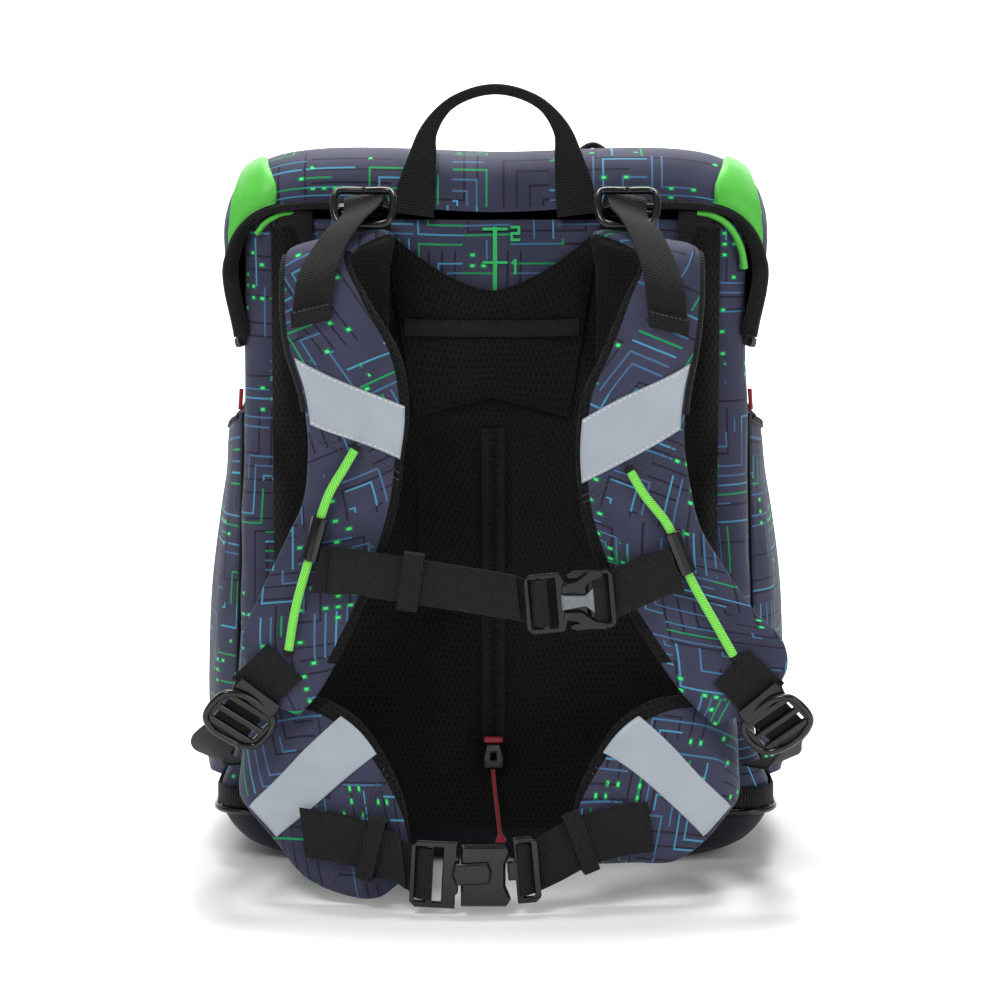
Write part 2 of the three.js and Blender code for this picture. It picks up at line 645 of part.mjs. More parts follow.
function strapSurface(side) {
  const rows = side < 0 ? strapLeft : strapRight;
  return net(rows.map(({ inner, innerZ, outer, outerZ, reach }) => {
    const out = reach * strapReach;
    const [a, b] = [inner * halfBack, outer * halfBack];
    const [low, high] = [innerZ * hingeHeight, outerZ * hingeHeight];
    const row = [
      wearer(side * a, out, low),
      wearer((side * (a + b)) / 2, out + 2, (low + high) / 2),
      wearer(side * b, out - 2, high),
    ];
    return side < 0 ? row : row.reverse();
  }));
}

const strapHalf = padded(strapEdge / 2, strapPad / 2);
const strapAcross = [0, 0.06, 0.2, 0.5, 0.8, 0.94, 1];

function shoulderStrap(side) {
  return sheet(strapSurface(side), (u) => -strapHalf(u), strapHalf, strapAcross, spread(24));
}

// A reflective patch sewn on the strap's face. from and to are shares of the strap's length at its inner edge.
function strapReflector(side) {
  const strap = strapSurface(side);
  const inner = [0.54, 0.632];
  const outer = [0.449, 0.547];
  const surface = (u, v) => {
    const acrossShare = side < 0 ? u : 1 - u;
    const start = inner[0] + (outer[0] - inner[0]) * acrossShare;
    const end = inner[1] + (outer[1] - inner[1]) * acrossShare;
    return offset(strap, 0.06 + 0.88 * u, start + (end - start) * v, strapPad / 2);
  };
  return sheet(surface, 0.7, 0.7 + reflectorWall, spread(4), spread(5));
}

// The green cord rail on the strap's face, which the chest strap slides on.
const railLift = railRadius + sliderWall + 3 * gap + 0.6;
const rails = {
  left: [
    { across: 0.5, along: 0.6, lift: 0 },
    { across: 0.58, along: 0.632, lift: 1 },
    { across: 0.7, along: 0.67, lift: 1 },
    { across: 0.72, along: 0.715, lift: 1 },
    { across: 0.68, along: 0.76, lift: 1 },
    { across: 0.6, along: 0.82, lift: 1 },
    { across: 0.5, along: 0.875, lift: 0 },
  ],
  right: [
    { across: 0.53, along: 0.605, lift: 0 },
    { across: 0.44, along: 0.64, lift: 1 },
    { across: 0.31, along: 0.68, lift: 1 },
    { across: 0.3, along: 0.72, lift: 1 },
    { across: 0.34, along: 0.765, lift: 1 },
    { across: 0.39, along: 0.825, lift: 1 },
    { across: 0.43, along: 0.885, lift: 0 },
  ],
};

function railPath(side) {
  const strap = strapSurface(side);
  return (side < 0 ? rails.left : rails.right).map(({ across, along, lift }) =>
    offset(strap, across, along, strapPad / 2 + railRadius + 0.6 + lift * (railLift - railRadius)));
}

const cordRail = (side) => hose(railPath(side), railRadius, 6, 13);

// The black tube that slides on the rail and carries the chest strap.
function railSlider(side) {
  const curve = new THREE.CatmullRomCurve3(railPath(side));
  const middle = curve.getPointAt(side < 0 ? 0.46 : 0.45);
  const along = curve.getTangentAt(side < 0 ? 0.46 : 0.45);
  const across = vec(0, 1, 0).cross(along).normalize();
  const away = along.clone().cross(across).normalize();
  const inside = railRadius + 2 * gap + 0.3;
  const ringAt = (share, radius) => spread(10).slice(0, 10).map((t) => {
    const angle = 2 * Math.PI * t;
    return middle.clone().addScaledVector(along, share * sliderLength)
      .addScaledVector(across, radius * Math.cos(angle)).addScaledVector(away, radius * Math.sin(angle));
  });
  const outside = inside + sliderWall;
  return lathed([ringAt(-0.5, outside), ringAt(0.5, outside), ringAt(0.5, inside), ringAt(-0.5, inside)], false);
}

// The load lifters: webbings from the back wall through a lock on the strap's fold, with a loose tail.
function loadLifter(side) {
  const tails = {
    left: [{ x: -72, z: 1.01075 }, { x: -80, z: 0.98925 }, { x: -89, z: 0.9543 }, { x: -94, z: 0.92204 }, { x: -96, z: 0.8871 }, { x: -97, z: 0.85215 }],
    right: [{ x: 71.5, z: 1.00806 }, { x: 78, z: 0.98656 }, { x: 85, z: 0.94624 }, { x: 89, z: 0.9086 }, { x: 90.5, z: 0.87634 }, { x: 91.5, z: 0.8414 }],
  };
  const tail = side < 0 ? tails.left : tails.right;
  const reaches = side < 0 ? [53, 69.5, 81, 88, 91, 92.5] : [53, 70, 83.5, 90, 92, 93];
  return webbing([
    { x: side * 69, reach: 1.4, z: 0.97043, turn: 0 },
    { x: side * 69, reach: 3, z: 0.98387, turn: 0 },
    { x: side * 69, reach: 14, z: 1, turn: 0 },
    { x: side * 70, reach: 28, z: 1.02151, turn: side * -6 },
    { x: side * 71, reach: 42, z: 1.02823, turn: side * -10 },
    ...tail.map(({ x, z }, k) => ({ x, reach: reaches[k], z, turn: side * (k < 3 ? -18 : -14) })),
  ], 22);
}

function lifterLock(side) {
  return placed(ladderLock(22).rotateY(Math.PI / 2), {
    x: side * (side < 0 ? 72 : 73), reach: 27.8, z: 1.00188, turn: side * -6, lean: 62,
  });
}

// The chest strap: webbings from both rail sliders that meet in a side release buckle.
const chestLeft = [
  { x: -92, reach: chestReach - 2, z: 0.5 },
  { x: -80, reach: chestReach - 1, z: 0.5 },
  { x: -60, reach: chestReach, z: 0.49194 },
  { x: -30, reach: chestReach + 0.5, z: 0.47984 },
  { x: 0, reach: chestReach + 0.3, z: 0.4664 },
  { x: 10, reach: chestReach, z: 0.46237 },
];

function chestWebbingLeft() {
  const start = { x: -95.5, reach: chestReach - 2, z: 0.5, turn: 76 };
  const rows = chestLeft.map((row, k) => ({ ...row, turn: k ? 98 : 79 }));
  const weave = [
    { x: 17.9, reach: chestReach - 0.1, z: 0.4552 },
    { x: 25.2, reach: chestReach + 6.6, z: 0.45538 },
    { x: 28, reach: chestReach + 6.6, z: 0.45591 },
  ].map((row) => ({ ...row, turn: 95 }));
  return webbing([start, ...rows, ...weave], chestWebbing);
}

function chestTail() {
  const rows = chestLeft.slice(0, 5).map((row, k) => ({ ...row, x: row.x + 4, reach: row.reach + 2.4, turn: k ? 98 : 84 }));
  return webbing([...rows, { x: 12, reach: chestReach + 3, z: 0.46237, turn: 97 }], chestWebbing);
}

function chestWebbingRight() {
  return webbing([
    { x: 52, reach: chestReach + 6.6, z: 0.46129, turn: 95 },
    { x: 53.8, reach: chestReach + 6.6, z: 0.46156, turn: 95 },
    { x: 61.2, reach: chestReach - 0.1, z: 0.46344, turn: 95 },
    { x: 67, reach: chestReach - 0.3, z: 0.47177, turn: 106 },
    { x: 78, reach: chestReach - 1, z: 0.48522, turn: 112 },
    { x: 88, reach: chestReach - 1.5, z: 0.49597, turn: 112 },
    { x: 96.8, reach: chestReach - 2.5, z: 0.5, turn: 110 },
  ], chestWebbing);
}

// A keeper: a flat webbing loop that holds both layers of a strap together.
function keeper({ x, reach, z, turn, swing = 0, length, height, depth }) {
  const wallSize = 1.3;
  const outline = [[-height / 2 - wallSize, -depth / 2 - wallSize], [height / 2 + wallSize, -depth / 2 - wallSize],
    [height / 2 + wallSize, depth / 2 + wallSize], [-height / 2 - wallSize, depth / 2 + wallSize]];
  const shape = new THREE.Shape(outline.map(([a, b]) => new THREE.Vector2(a, b)));
  const hole = [[-height / 2, -depth / 2], [-height / 2, depth / 2], [height / 2, depth / 2], [height / 2, -depth / 2]];
  shape.holes.push(new THREE.Path(hole.map(([a, b]) => new THREE.Vector2(a, b))));
  const geometry = new THREE.ExtrudeGeometry(shape, { depth: length, bevelEnabled: false });
  geometry.translate(0, 0, -length / 2).rotateY(Math.PI / 2);
  return placed(geometry, { x, reach, z, turn, swing });
}

const chestKeeper = () => keeper({
  x: -45, reach: chestReach + 1.4, z: 0.48575, turn: -8.5, length: 11, height: chestWebbing + 3, depth: 6,
});

const chestBucklePlace = { x: 40, reach: chestReach + 3.2, z: 0.45833, turn: 5 };

function chestBuckleLeft() {
  const outline = [[-24, -13.5], [-21.5, -16], [-5, -16], [-2, -10.5], [9, -8.8], [9, 8.8], [-2, 10.5], [-5, 16],
    [-21.5, 16], [-24, 13.5]];
  const slot = chestWebbing / 2 + 0.6;
  return placed(plate(outline, [{ x: -18.5, half: slot, width: 6 }, { x: -9.8, half: slot, width: 4.4 }], 3), chestBucklePlace);
}

function chestBuckleRight() {
  const outline = [[23.5, 13], [20.5, 16], [2, 16], [-1.5, 14.4], [-0.8, 12], [9.6, 10.6], [9.6, -10.6], [-0.8, -12],
    [-1.5, -14.4], [2, -16], [20.5, -16], [23.5, -13]];
  return placed(plate(outline, [{ x: 17.5, half: chestWebbing / 2 + 0.6, width: 6 }], 3), chestBucklePlace);
}

// The lower strap ends: a sewn webbing patch, a ladder lock and a webbing down to the base corner.
const lowerEnds = {
  left: { patch: { x: -122, z: 0.3414, turn: -46 }, lock: { x: -137.2, z: 0.28226, turn: 53 }, foot: { x: -151, z: 0.16667 } },
  right: { patch: { x: 136, z: 0.33333, turn: 46 }, lock: { x: 151, z: 0.27554, turn: -50 }, foot: { x: 153, z: 0.16129 } },
};
const lockReach = strapReach + 13;

function strapPatch(side) {
  const { patch } = side < 0 ? lowerEnds.left : lowerEnds.right;
  const box = chamferedBox(27, 27, 0.5);
  return placed(plate(box, [], 1.6, 0.3), { x: patch.x, reach: strapReach + 12.6, z: patch.z, turn: patch.turn });
}

const lockPose = (lock, side) => ({ x: lock.x, reach: lockReach, z: lock.z, turn: lock.turn, lean: 20, swing: side * -6 });

function lowerLock(side) {
  const { lock } = side < 0 ? lowerEnds.left : lowerEnds.right;
  return placed(ladderLock(beltWebbing - 2), lockPose(lock, side));
}

// A webbing station given in a lock's own frame: along its length towards the strap, and rise in front of it.
function lockStation(lock, side, along, rise) {
  const rad = Math.PI / 180;
  const { turn, lean, swing } = lockPose(lock, side);
  const place = (p) => p.applyAxisAngle(vec(0, 1, 0), -turn * rad).applyAxisAngle(vec(1, 0, 0), lean * rad)
    .applyAxisAngle(vec(0, 0, 1), swing * rad);
  return {
    at: place(vec(-side * along, -rise, 0)).add(wearer(lock.x, lockReach, up(lock.z))),
    across: place(vec(0, 0, 1)),
  };
}

function lowerWebbing(side) {
  const { lock, foot } = side < 0 ? lowerEnds.left : lowerEnds.right;
  const across = (turn) => vec(side * Math.cos((turn * Math.PI) / 180), 0, Math.sin((turn * Math.PI) / 180));
  return webbing([
    lockStation(lock, side, 9, -2.8),
    lockStation(lock, side, 0, -2.8),
    lockStation(lock, side, -9, -2.8),
    lockStation(lock, side, -15, -5),
    { at: wearer(foot.x + side * 6, 0.71 * lockReach, up(foot.z) + 21), across: across(38) },
    { at: wearer(foot.x + side * 6, 0.366 * lockReach, up(foot.z) + 9), across: across(24) },
    { at: wearer(side * (bodySide(up(foot.z)) - 3.4), -4.2, up(foot.z)), across: vec(side * Math.SQRT1_2, Math.SQRT1_2, 0) },
  ], 22);
}

// The hip fins: padded wings that leave the back low down and wrap forward to the belt. top and low are the
// edges' distances from the middle as shares of half the back, and their heights are shares of the fin's top.
const finTop = up(0.3038);
const finRows = [
  { top: 0.766, topZ: 0.9027, low: 0.766, lowZ: 0.5044, reach: 0.058 },
  { top: 0.844, topZ: 0.9204, low: 0.8511, lowZ: 0.4867, reach: 0.1136 },
  { top: 0.9149, topZ: 0.9381, low: 0.9291, lowZ: 0.4779, reach: 0.2841 },
  { top: 0.9504, topZ: 0.9558, low: 0.9716, lowZ: 0.469, reach: 0.5 },
  { top: 0.9078, topZ: 0.9735, low: 0.9752, lowZ: 0.4602, reach: 0.6818 },
  { top: 0.7943, topZ: 1, low: 0.9433, lowZ: 0.4248, reach: 0.7955 },
  { top: 0.6631, topZ: 1, low: 0.8511, lowZ: 0.3009, reach: 0.875 },
  { top: 0.5177, topZ: 0.9027, low: 0.7305, lowZ: 0.1327, reach: 0.9432 },
  { top: 0.4113, topZ: 0.708, low: 0.5674, lowZ: 0.0487, reach: 0.9773 },
  { top: 0.3475, topZ: 0.5133, low: 0.4539, lowZ: 0.0442, reach: 1 },
  { top: 0.3262, topZ: 0.3186, low: 0.3688, lowZ: 0.115, reach: 1 },
];

// The right wing's lower lobe ends behind the belt; the left one hangs below it.
const rightFinFoot = 0.212;

function finSurface(side) {
  return net(finRows.map(({ top, topZ, low, lowZ, reach }, k) => {
    const shift = side < 0 ? 0 : -2 * Math.min(k, 3);
    const edge = (share, height) => wearer(side * (share * halfBack + shift), reach * finReach, height * finTop);
    const row = [edge(top, topZ), edge(low, side < 0 ? lowZ : Math.max(lowZ, rightFinFoot))];
    return side < 0 ? row : row.reverse();
  }));
}

const finHalf = padded(strapEdge / 2, finPad / 2);
const hipFin = (side) => sheet(finSurface(side), (u) => -finHalf(u), finHalf, [0, 0.07, 0.22, 0.5, 0.78, 0.93, 1], spread(16));

// The reflective stripe that crosses the fin's face.
function finReflector(side) {
  const fin = finSurface(side);
  const surface = (u, v) => {
    const down = side < 0 ? u : 1 - u;
    const start = 0.665 - 0.175 * down;
    return offset(fin, 0.05 + 0.9 * u, start + 0.108 * v, finPad / 2);
  };
  return sheet(surface, 0.7, 0.7 + reflectorWall, spread(4), spread(5));
}

// The hip belt: webbings from both fins that meet in a three part buckle.
const buckleReach = finReach + 18;
const beltRows = [
  { x: -104, z: 0.1129, reach: finReach + 0.5 },
  { x: -90, z: 0.10753, reach: finReach + 2.6 },
  { x: -78, z: 0.10215, reach: finReach + 5 },
  { x: -66, z: 0.09409, reach: finReach + 8.4 },
  { x: -56, z: 0.08468, reach: finReach + 11 },
  { x: -49.5, z: 0.07392, reach: finReach + 13 },
];

function beltMain() {
  const weave = [
    { x: -43.6, reach: buckleReach - 3.3, z: 0.06344 },
    { x: -36.2, reach: buckleReach + 3.4, z: 0.06237 },
    { x: -33.6, reach: buckleReach + 3.4, z: 0.0621 },
  ];
  return webbing([
    ...beltRows.slice(1).map((row) => ({ ...row, turn: 97 })),
    ...weave.map((row) => ({ ...row, turn: 87 })),
  ], beltWebbing);
}

const beltTail = () => webbing(beltRows.map((row) => ({ ...row, reach: row.reach + 2.6, turn: 97 })), beltWebbing);

const beltKeeper = (side) => keeper(side < 0
  ? { x: -66, reach: finReach + 9.9, z: 0.09382, turn: -14, swing: -15, length: 9, height: beltWebbing + 4, depth: 7 }
  : { x: 46, reach: finReach + 10.4, z: 0.10323, turn: 20, swing: 12, length: 9, height: beltWebbing + 3.6, depth: 4.6 });

const beltWebbingRight = () => webbing([
  { x: 11.8, reach: buckleReach + 3.4, z: 0.0672, turn: 95 },
  { x: 13.3, reach: buckleReach + 3.4, z: 0.06747, turn: 95 },
  { x: 20.7, reach: buckleReach - 3.3, z: 0.06909, turn: 95 },
  { x: 31, reach: buckleReach - 5, z: 0.08333, turn: 108 },
  { x: 46, reach: finReach + 10.2, z: 0.10323, turn: 110 },
  { x: 60, reach: finReach + 7.2, z: 0.1129, turn: 106 },
  { x: 72, reach: finReach + 4.8, z: 0.11828, turn: 100 },
  { x: 84, reach: finReach + 2.6, z: 0.12097, turn: 98 },
], beltWebbing);

const beltSlot = beltWebbing / 2 + 0.8;

function beltFrameLeft() {
  const outline = [[-12.5, -15.5], [-9.5, -18.3], [12, -18.3], [12, -11], [13.4, -9.5], [13.4, 9.5], [12, 11], [12, 18.3],
    [-9.5, 18.3], [-12.5, 15.5]];
  return placed(plate(outline, [{ x: -7, half: beltSlot, width: 6 }, { x: 2, half: beltSlot, width: 5 }], 3),
    { x: -33, reach: buckleReach, z: 0.06129, turn: -3 });
}

function beltCentre() {
  const outline = [[-13.5, -17], [11, -17], [13.5, -13], [10.5, -6], [10.5, 6], [13.5, 13], [11, 17], [-13.5, 17]];
  return placed(plate(outline, [], 7, 1.6), { x: -5, reach: buckleReach + 0.5, z: 0.06075, turn: 0 });
}

function beltFrameRight() {
  const outline = [[-6, -5.2], [-2, -5.2], [-2, -18.3], [8, -18.3], [11, -15.5], [11, 15.5], [8, 18.3], [-2, 18.3], [-2, 5.2], [-6, 5.2]];
  return placed(plate(outline, [{ x: 4.5, half: beltSlot, width: 6 }], 3), { x: 12.6, reach: buckleReach, z: 0.0672, turn: 5 });
}

// The hidden front clasp that holds the lid down.
const frontClasp = () => plate(chamferedBox(44, 26, 5), [], 5).translate(0, frontY + 6.9, 172);

const sides = [[-1, "left"], [1, "right"]];

add("base_tub", baseTub(), baseCloth);
add("body_shell", bodyShell(), printedCloth);
add("base_band", baseBand(), webbingCloth);
add("base_piping", basePiping(), blackPlastic);
add("lid", lid(), printedCloth);
add("handle", handle(), webbingCloth);
add("front_clasp", frontClasp(), blackPlastic);
add("back_panel", backPanel(), meshCloth);
add("yoke", yoke(), meshCloth);
add("yoke_band", yokeBand(), webbingCloth);
add("zip", zip(), blackPlastic);
add("zip_slider", zipSlider(), blackPlastic);
add("zip_bar", zipBar(), redCord);
add("pull_cord", pullCord(), redCord);
for (const [side, name] of sides) {
  add(`lid_binding_${name}`, lidBinding(side), webbingCloth);
  add(`lid_cap_${name}`, lidCap(side), greenRubber);
  add(`side_pocket_${name}`, sidePocket(side), printedCloth);
  add(`pocket_pull_${name}`, pocketPull(side), redCord);
  add(`side_bolster_${name}`, sideBolster(side), meshCloth);
  add(`shoulder_strap_${name}`, shoulderStrap(side), printedCloth);
  add(`strap_reflector_${name}`, strapReflector(side), reflective);
  add(`cord_rail_${name}`, cordRail(side), greenCord);
  add(`rail_slider_${name}`, railSlider(side), blackPlastic);
  add(`load_lifter_${name}`, loadLifter(side), webbingCloth);
  add(`lifter_lock_${name}`, lifterLock(side), blackPlastic);
  add(`strap_patch_${name}`, strapPatch(side), webbingCloth);
  add(`lower_lock_${name}`, lowerLock(side), blackPlastic);
  add(`lower_webbing_${name}`, lowerWebbing(side), webbingCloth);
  add(`hip_fin_${name}`, hipFin(side), printedCloth);
  add(`fin_reflector_${name}`, finReflector(side), reflective);
  add(`belt_keeper_${name}`, beltKeeper(side), webbingCloth);
}
add("chest_webbing_left", chestWebbingLeft(), webbingCloth);
add("chest_webbing_right", chestWebbingRight(), webbingCloth);
add("chest_tail", chestTail(), webbingCloth);
add("chest_keeper", chestKeeper(), webbingCloth);
add("chest_buckle_left", chestBuckleLeft(), blackPlastic);
add("chest_buckle_right", chestBuckleRight(), blackPlastic);
add("belt_webbing_left", beltMain(), webbingCloth);
add("belt_webbing_right", beltWebbingRight(), webbingCloth);
add("belt_tail", beltTail(), webbingCloth);
add("belt_frame_left", beltFrameLeft(), blackPlastic);
add("belt_centre", beltCentre(), blackPlastic);
add("belt_frame_right", beltFrameRight(), blackPlastic);

export default ransel;
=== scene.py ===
import math

import bpy
import numpy as np
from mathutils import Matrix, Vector, noise


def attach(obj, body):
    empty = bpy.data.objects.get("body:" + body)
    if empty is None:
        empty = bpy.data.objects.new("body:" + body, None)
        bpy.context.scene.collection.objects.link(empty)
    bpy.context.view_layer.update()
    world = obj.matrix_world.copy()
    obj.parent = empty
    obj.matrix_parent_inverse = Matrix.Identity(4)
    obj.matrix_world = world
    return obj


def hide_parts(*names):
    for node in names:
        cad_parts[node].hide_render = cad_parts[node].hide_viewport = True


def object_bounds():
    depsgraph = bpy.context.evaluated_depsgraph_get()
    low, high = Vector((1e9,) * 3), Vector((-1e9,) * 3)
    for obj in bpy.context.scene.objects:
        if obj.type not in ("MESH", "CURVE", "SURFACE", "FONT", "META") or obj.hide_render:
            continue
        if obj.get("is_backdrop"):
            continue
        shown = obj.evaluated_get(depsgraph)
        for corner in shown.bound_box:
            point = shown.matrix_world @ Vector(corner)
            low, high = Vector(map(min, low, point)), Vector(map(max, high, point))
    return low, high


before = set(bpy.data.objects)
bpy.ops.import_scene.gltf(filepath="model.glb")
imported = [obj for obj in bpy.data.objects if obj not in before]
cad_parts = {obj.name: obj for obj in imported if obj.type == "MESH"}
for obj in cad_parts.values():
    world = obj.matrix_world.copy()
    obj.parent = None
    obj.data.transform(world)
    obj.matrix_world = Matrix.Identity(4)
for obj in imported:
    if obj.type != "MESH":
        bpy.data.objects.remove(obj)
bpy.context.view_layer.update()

# The view and the studio
# A long lens looks at the harness side from a little above. A matt paper sweep makes the floor and
# the background. Three broad soft lamps light the ransel and a fourth the paper behind it.
target = Vector((0.0025, -0.1, 0.211))
view_distance = 1.7
view_elevation = math.radians(7.5)
back = Vector((0, -math.cos(view_elevation), math.sin(view_elevation)))
camera_data = bpy.data.cameras.new("camera")
camera_data.lens = 108.8
camera_data.sensor_width = 36
camera = bpy.data.objects.new("camera", camera_data)
camera.location = target + back * view_distance
camera.rotation_mode = "QUATERNION"
camera.rotation_quaternion = (-back).to_track_quat("-Z", "Y")
bpy.context.scene.collection.objects.link(camera)
bpy.context.scene.camera = camera
bpy.context.scene.view_settings.view_transform = "Standard"


def linear(code):
    """An sRGB hex colour as the linear RGBA that the shader takes."""
    parts = [int(code[k : k + 2], 16) / 255 for k in (1, 3, 5)]
    return tuple(p / 12.92 if p <= 0.04045 else ((p + 0.055) / 1.055) ** 2.4 for p in parts) + (1,)


def surface(name, **sockets):
    """A new material with one Principled shader. Returns the material, its node tree and the shader."""
    material = bpy.data.materials.new(name)
    material.use_nodes = True
    shader = material.node_tree.nodes["Principled BSDF"]
    for socket, value in sockets.items():
        shader.inputs[socket.replace("_", " ")].default_value = value
    return material, material.node_tree, shader


def shape(name, vertices, faces, materials, uvs=None, slots=None, smooth=True, rides=True):
    """A new mesh object, on the model's only body if it rides. uvs: mm, one pair for each face corner."""
    data = bpy.data.meshes.new(name)
    data.from_pydata([tuple(p) for p in vertices], [], faces)
    for material in materials:
        data.materials.append(material)
    if uvs is not None:
        layer = data.uv_layers.new(name="mm")
        layer.data.foreach_set("uv", np.asarray(uvs, np.float32).ravel())
    if slots is not None:
        data.polygons.foreach_set("material_index", slots)
    data.polygons.foreach_set("use_smooth", [smooth] * len(faces))
    data.validate()
    piece = bpy.data.objects.new(name, data)
    bpy.context.scene.collection.objects.link(piece)
    if rides:
        bpy.context.view_layer.update()
        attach(piece, "root")
    return piece


# Uncoated white paper: quite matt, so that it takes no mirror image of the lamps.
paper = surface("matt_paper", Base_Color=linear("#fbfbfa"), Roughness=0.95)[0]
paper_reach, bend_start, bend_radius, paper_top = 14.0, 1.3, 0.9, 4.0
sweep = [(-paper_reach, 0.0), (bend_start, 0.0)]
for step in range(1, 13):
    angle = step / 12 * math.pi / 2
    sweep.append((bend_start + bend_radius * math.sin(angle), bend_radius - bend_radius * math.cos(angle)))
sweep.append((bend_start + bend_radius, paper_top))
sweep_points = [(x, y, z) for y, z in sweep for x in (-paper_reach, paper_reach)]
sweep_faces = [(2 * k, 2 * k + 1, 2 * k + 3, 2 * k + 2) for k in range(len(sweep) - 1)]
floor = shape("paper_sweep", sweep_points, sweep_faces, [paper], rides=False)
floor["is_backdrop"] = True

lamps = [
    # name, place in metres, watts, width in metres
    ("key_lamp", (-0.8, -1.7, 2.0), 28, 0.8),
    ("fill_lamp", (1.6, -1.7, 0.9), 12, 1.0),
    ("top_lamp", (0.1, 0.3, 2.0), 13, 0.8),
    ("backdrop_lamp", (0.0, 0.7, 2.6), 90, 1.6),
]
for name, place, power, size in lamps:
    lamp_data = bpy.data.lights.new(name, "AREA")
    lamp_data.energy = power
    lamp_data.size = size
    lamp = bpy.data.objects.new(name, lamp_data)
    lamp.location = place
    lamp.rotation_mode = "QUATERNION"
    aim = Vector((0, 2.6, 0.2)) if name == "backdrop_lamp" else target
    lamp.rotation_quaternion = (aim - Vector(place)).to_track_quat("-Z", "Y")
    bpy.context.scene.collection.objects.link(lamp)
world = bpy.data.worlds.new("studio")
world.use_nodes = True
world.node_tree.nodes["Background"].inputs["Color"].default_value = linear("#f4f6fa")
world.node_tree.nodes["Background"].inputs["Strength"].default_value = 0.32
bpy.context.scene.world = world

# The pull cord
# A short braided polyester cord, knotted near its end, loops through the zip slider and hangs free
# over the bottom of the back. Braid gives a fine slanting rib and a soft dull sheen.
back_y = -100.0


def wearer(x, reach, z):
    """A point in millimetres in front of the back wall: x sideways, reach towards the wearer, z up."""
    return (x, back_y - reach, z)


def curve(points, shares):
    """Points in millimetres on the smooth curve through points, as the CAD source draws it."""
    p = np.asarray(points, float)
    last = len(p) - 1
    p = np.vstack([2 * p[0] - p[1], p, 2 * p[-1] - p[-2]])
    made = []
    for share in shares:
        k = min(int(share * last), last - 1)
        t = share * last - k
        a, b, c, d = p[k : k + 4]
        g0, g1, g2 = [max(np.dot(q - r, q - r), 1e-12) ** 0.25 for q, r in ((a, b), (b, c), (c, d))]
        start = ((b - a) / g0 - (c - a) / (g0 + g1) + (c - b) / g1) * g1
        end = ((c - b) / g1 - (d - b) / (g1 + g2) + (d - c) / g2) * g1
        bend = 3 * (c - b) - 2 * start - end
        made.append(b + start * t + bend * t * t + (2 * (b - c) + start + end) * t**3)
    return np.array(made)


def spread(count, start=0.0, end=1.0):
    """count + 1 even shares from start to end."""
    return np.linspace(start, end, count + 1)


def loft(name, rings, across, along, materials, capped=True, slot_of=None, turn=0.0, shift=(0.0, 0.0)):
    """A skin over rings of points in mm. across and along: the print's coordinates in mm, turned by turn."""
    rings = np.asarray(rings, float) * 0.001
    rows, count = rings.shape[:2]
    across = np.asarray(across, float)
    if across.ndim == 1:
        across = np.tile(across, (rows, 1))
    if across.shape[1] == count:
        across = np.hstack([across, across[:, :1]])
    along = np.asarray(along, float)
    if along.ndim == 1:
        along = np.tile(along[:, None], (1, count + 1))
    cos, sin = math.cos(math.radians(turn)), math.sin(math.radians(turn))
    u = across * cos - along * sin + shift[0]
    v = across * sin + along * cos + shift[1]
    faces, uvs, slots = [], [], []
    for i in range(rows - 1):
        for j in range(count):
            k = (j + 1) % count
            faces.append((i * count + j, i * count + k, (i + 1) * count + k, (i + 1) * count + j))
            for a, b in ((i, j), (i, j + 1), (i + 1, j + 1), (i + 1, j)):
                uvs.append((u[a, b], v[a, b]))
            slots.append(slot_of(i, j) if slot_of else 0)
    if capped:
        for i, flip in ((0, True), (rows - 1, False)):
            for j in range(count // 2 - 1):
                corners = [j, j + 1, count - 2 - j, count - 1 - j]
                corners = corners if flip else corners[::-1]
                if count - 2 - j == j + 1:
                    continue
                faces.append(tuple(i * count + c for c in corners))
                for c in corners:
                    uvs.append((u[i, c], v[i, c]))
                slots.append(slot_of(i, j) if slot_of else 0)
    return shape(name, rings.reshape(-1, 3), faces, materials, uvs, slots)


def lengths(points):
    """How far along a path each point lies, in mm."""
    steps = np.linalg.norm(np.diff(points, axis=0), axis=1)
    return np.concatenate([[0], np.cumsum(steps)])


def tube(name, path, radius, materials, sides=10, steps=60):
    """A round cord along a path in mm. radius is a size or a function of the share of the length."""
    shares = spread(steps)
    line = curve(path, shares)
    tangents = np.gradient(line, axis=0)
    tangents /= np.linalg.norm(tangents, axis=1)[:, None]
    side = np.cross(tangents[0], (0.0, 0.0, 1.0))
    if np.linalg.norm(side) < 0.1:
        side = np.cross(tangents[0], (0.0, 1.0, 0.0))
    rings = []
    for middle, tangent, share in zip(line, tangents, shares):
        side = side - tangent * np.dot(side, tangent)
        side /= np.linalg.norm(side)
        other = np.cross(tangent, side)
        size = radius(share) if callable(radius) else radius
        angles = np.arange(sides) * 2 * math.pi / sides
        rings.append(middle + size * (np.outer(np.cos(angles), side) + np.outer(np.sin(angles), other)))
    size = radius(0.5) if callable(radius) else radius
    return loft(name, rings, np.arange(sides + 1) * 2 * math.pi * size / sides, lengths(line), materials)


def put(tree, kind, *values, out=0, named=None, **settings):
    """Adds a node. A value is a number, a hex colour or another node's output, which is linked."""
    made = tree.nodes.new("ShaderNode" + kind)
    for key, value in settings.items():
        setattr(made, key, value)
    for socket, value in [*enumerate(values), *(named or {}).items()]:
        if isinstance(value, bpy.types.NodeSocket):
            tree.links.new(value, made.inputs[socket])
        elif value is not None:
            made.inputs[socket].default_value = linear(value) if isinstance(value, str) else value
    return made.outputs[out]


def calc(tree, operation, *values):
    """The result of a Math node."""
    return put(tree, "Math", *values, operation=operation)


def blend(tree, share, first, second):
    """The colour that lies share of the way from first to second."""
    return put(tree, "Mix", named={0: share, 6: first, 7: second}, data_type="RGBA", out=2)


def relief(tree, height, strength, distance):
    """The bump of a height field that is distance metres deep."""
    return put(tree, "Bump", named={"Strength": strength, "Distance": distance, "Height": height})


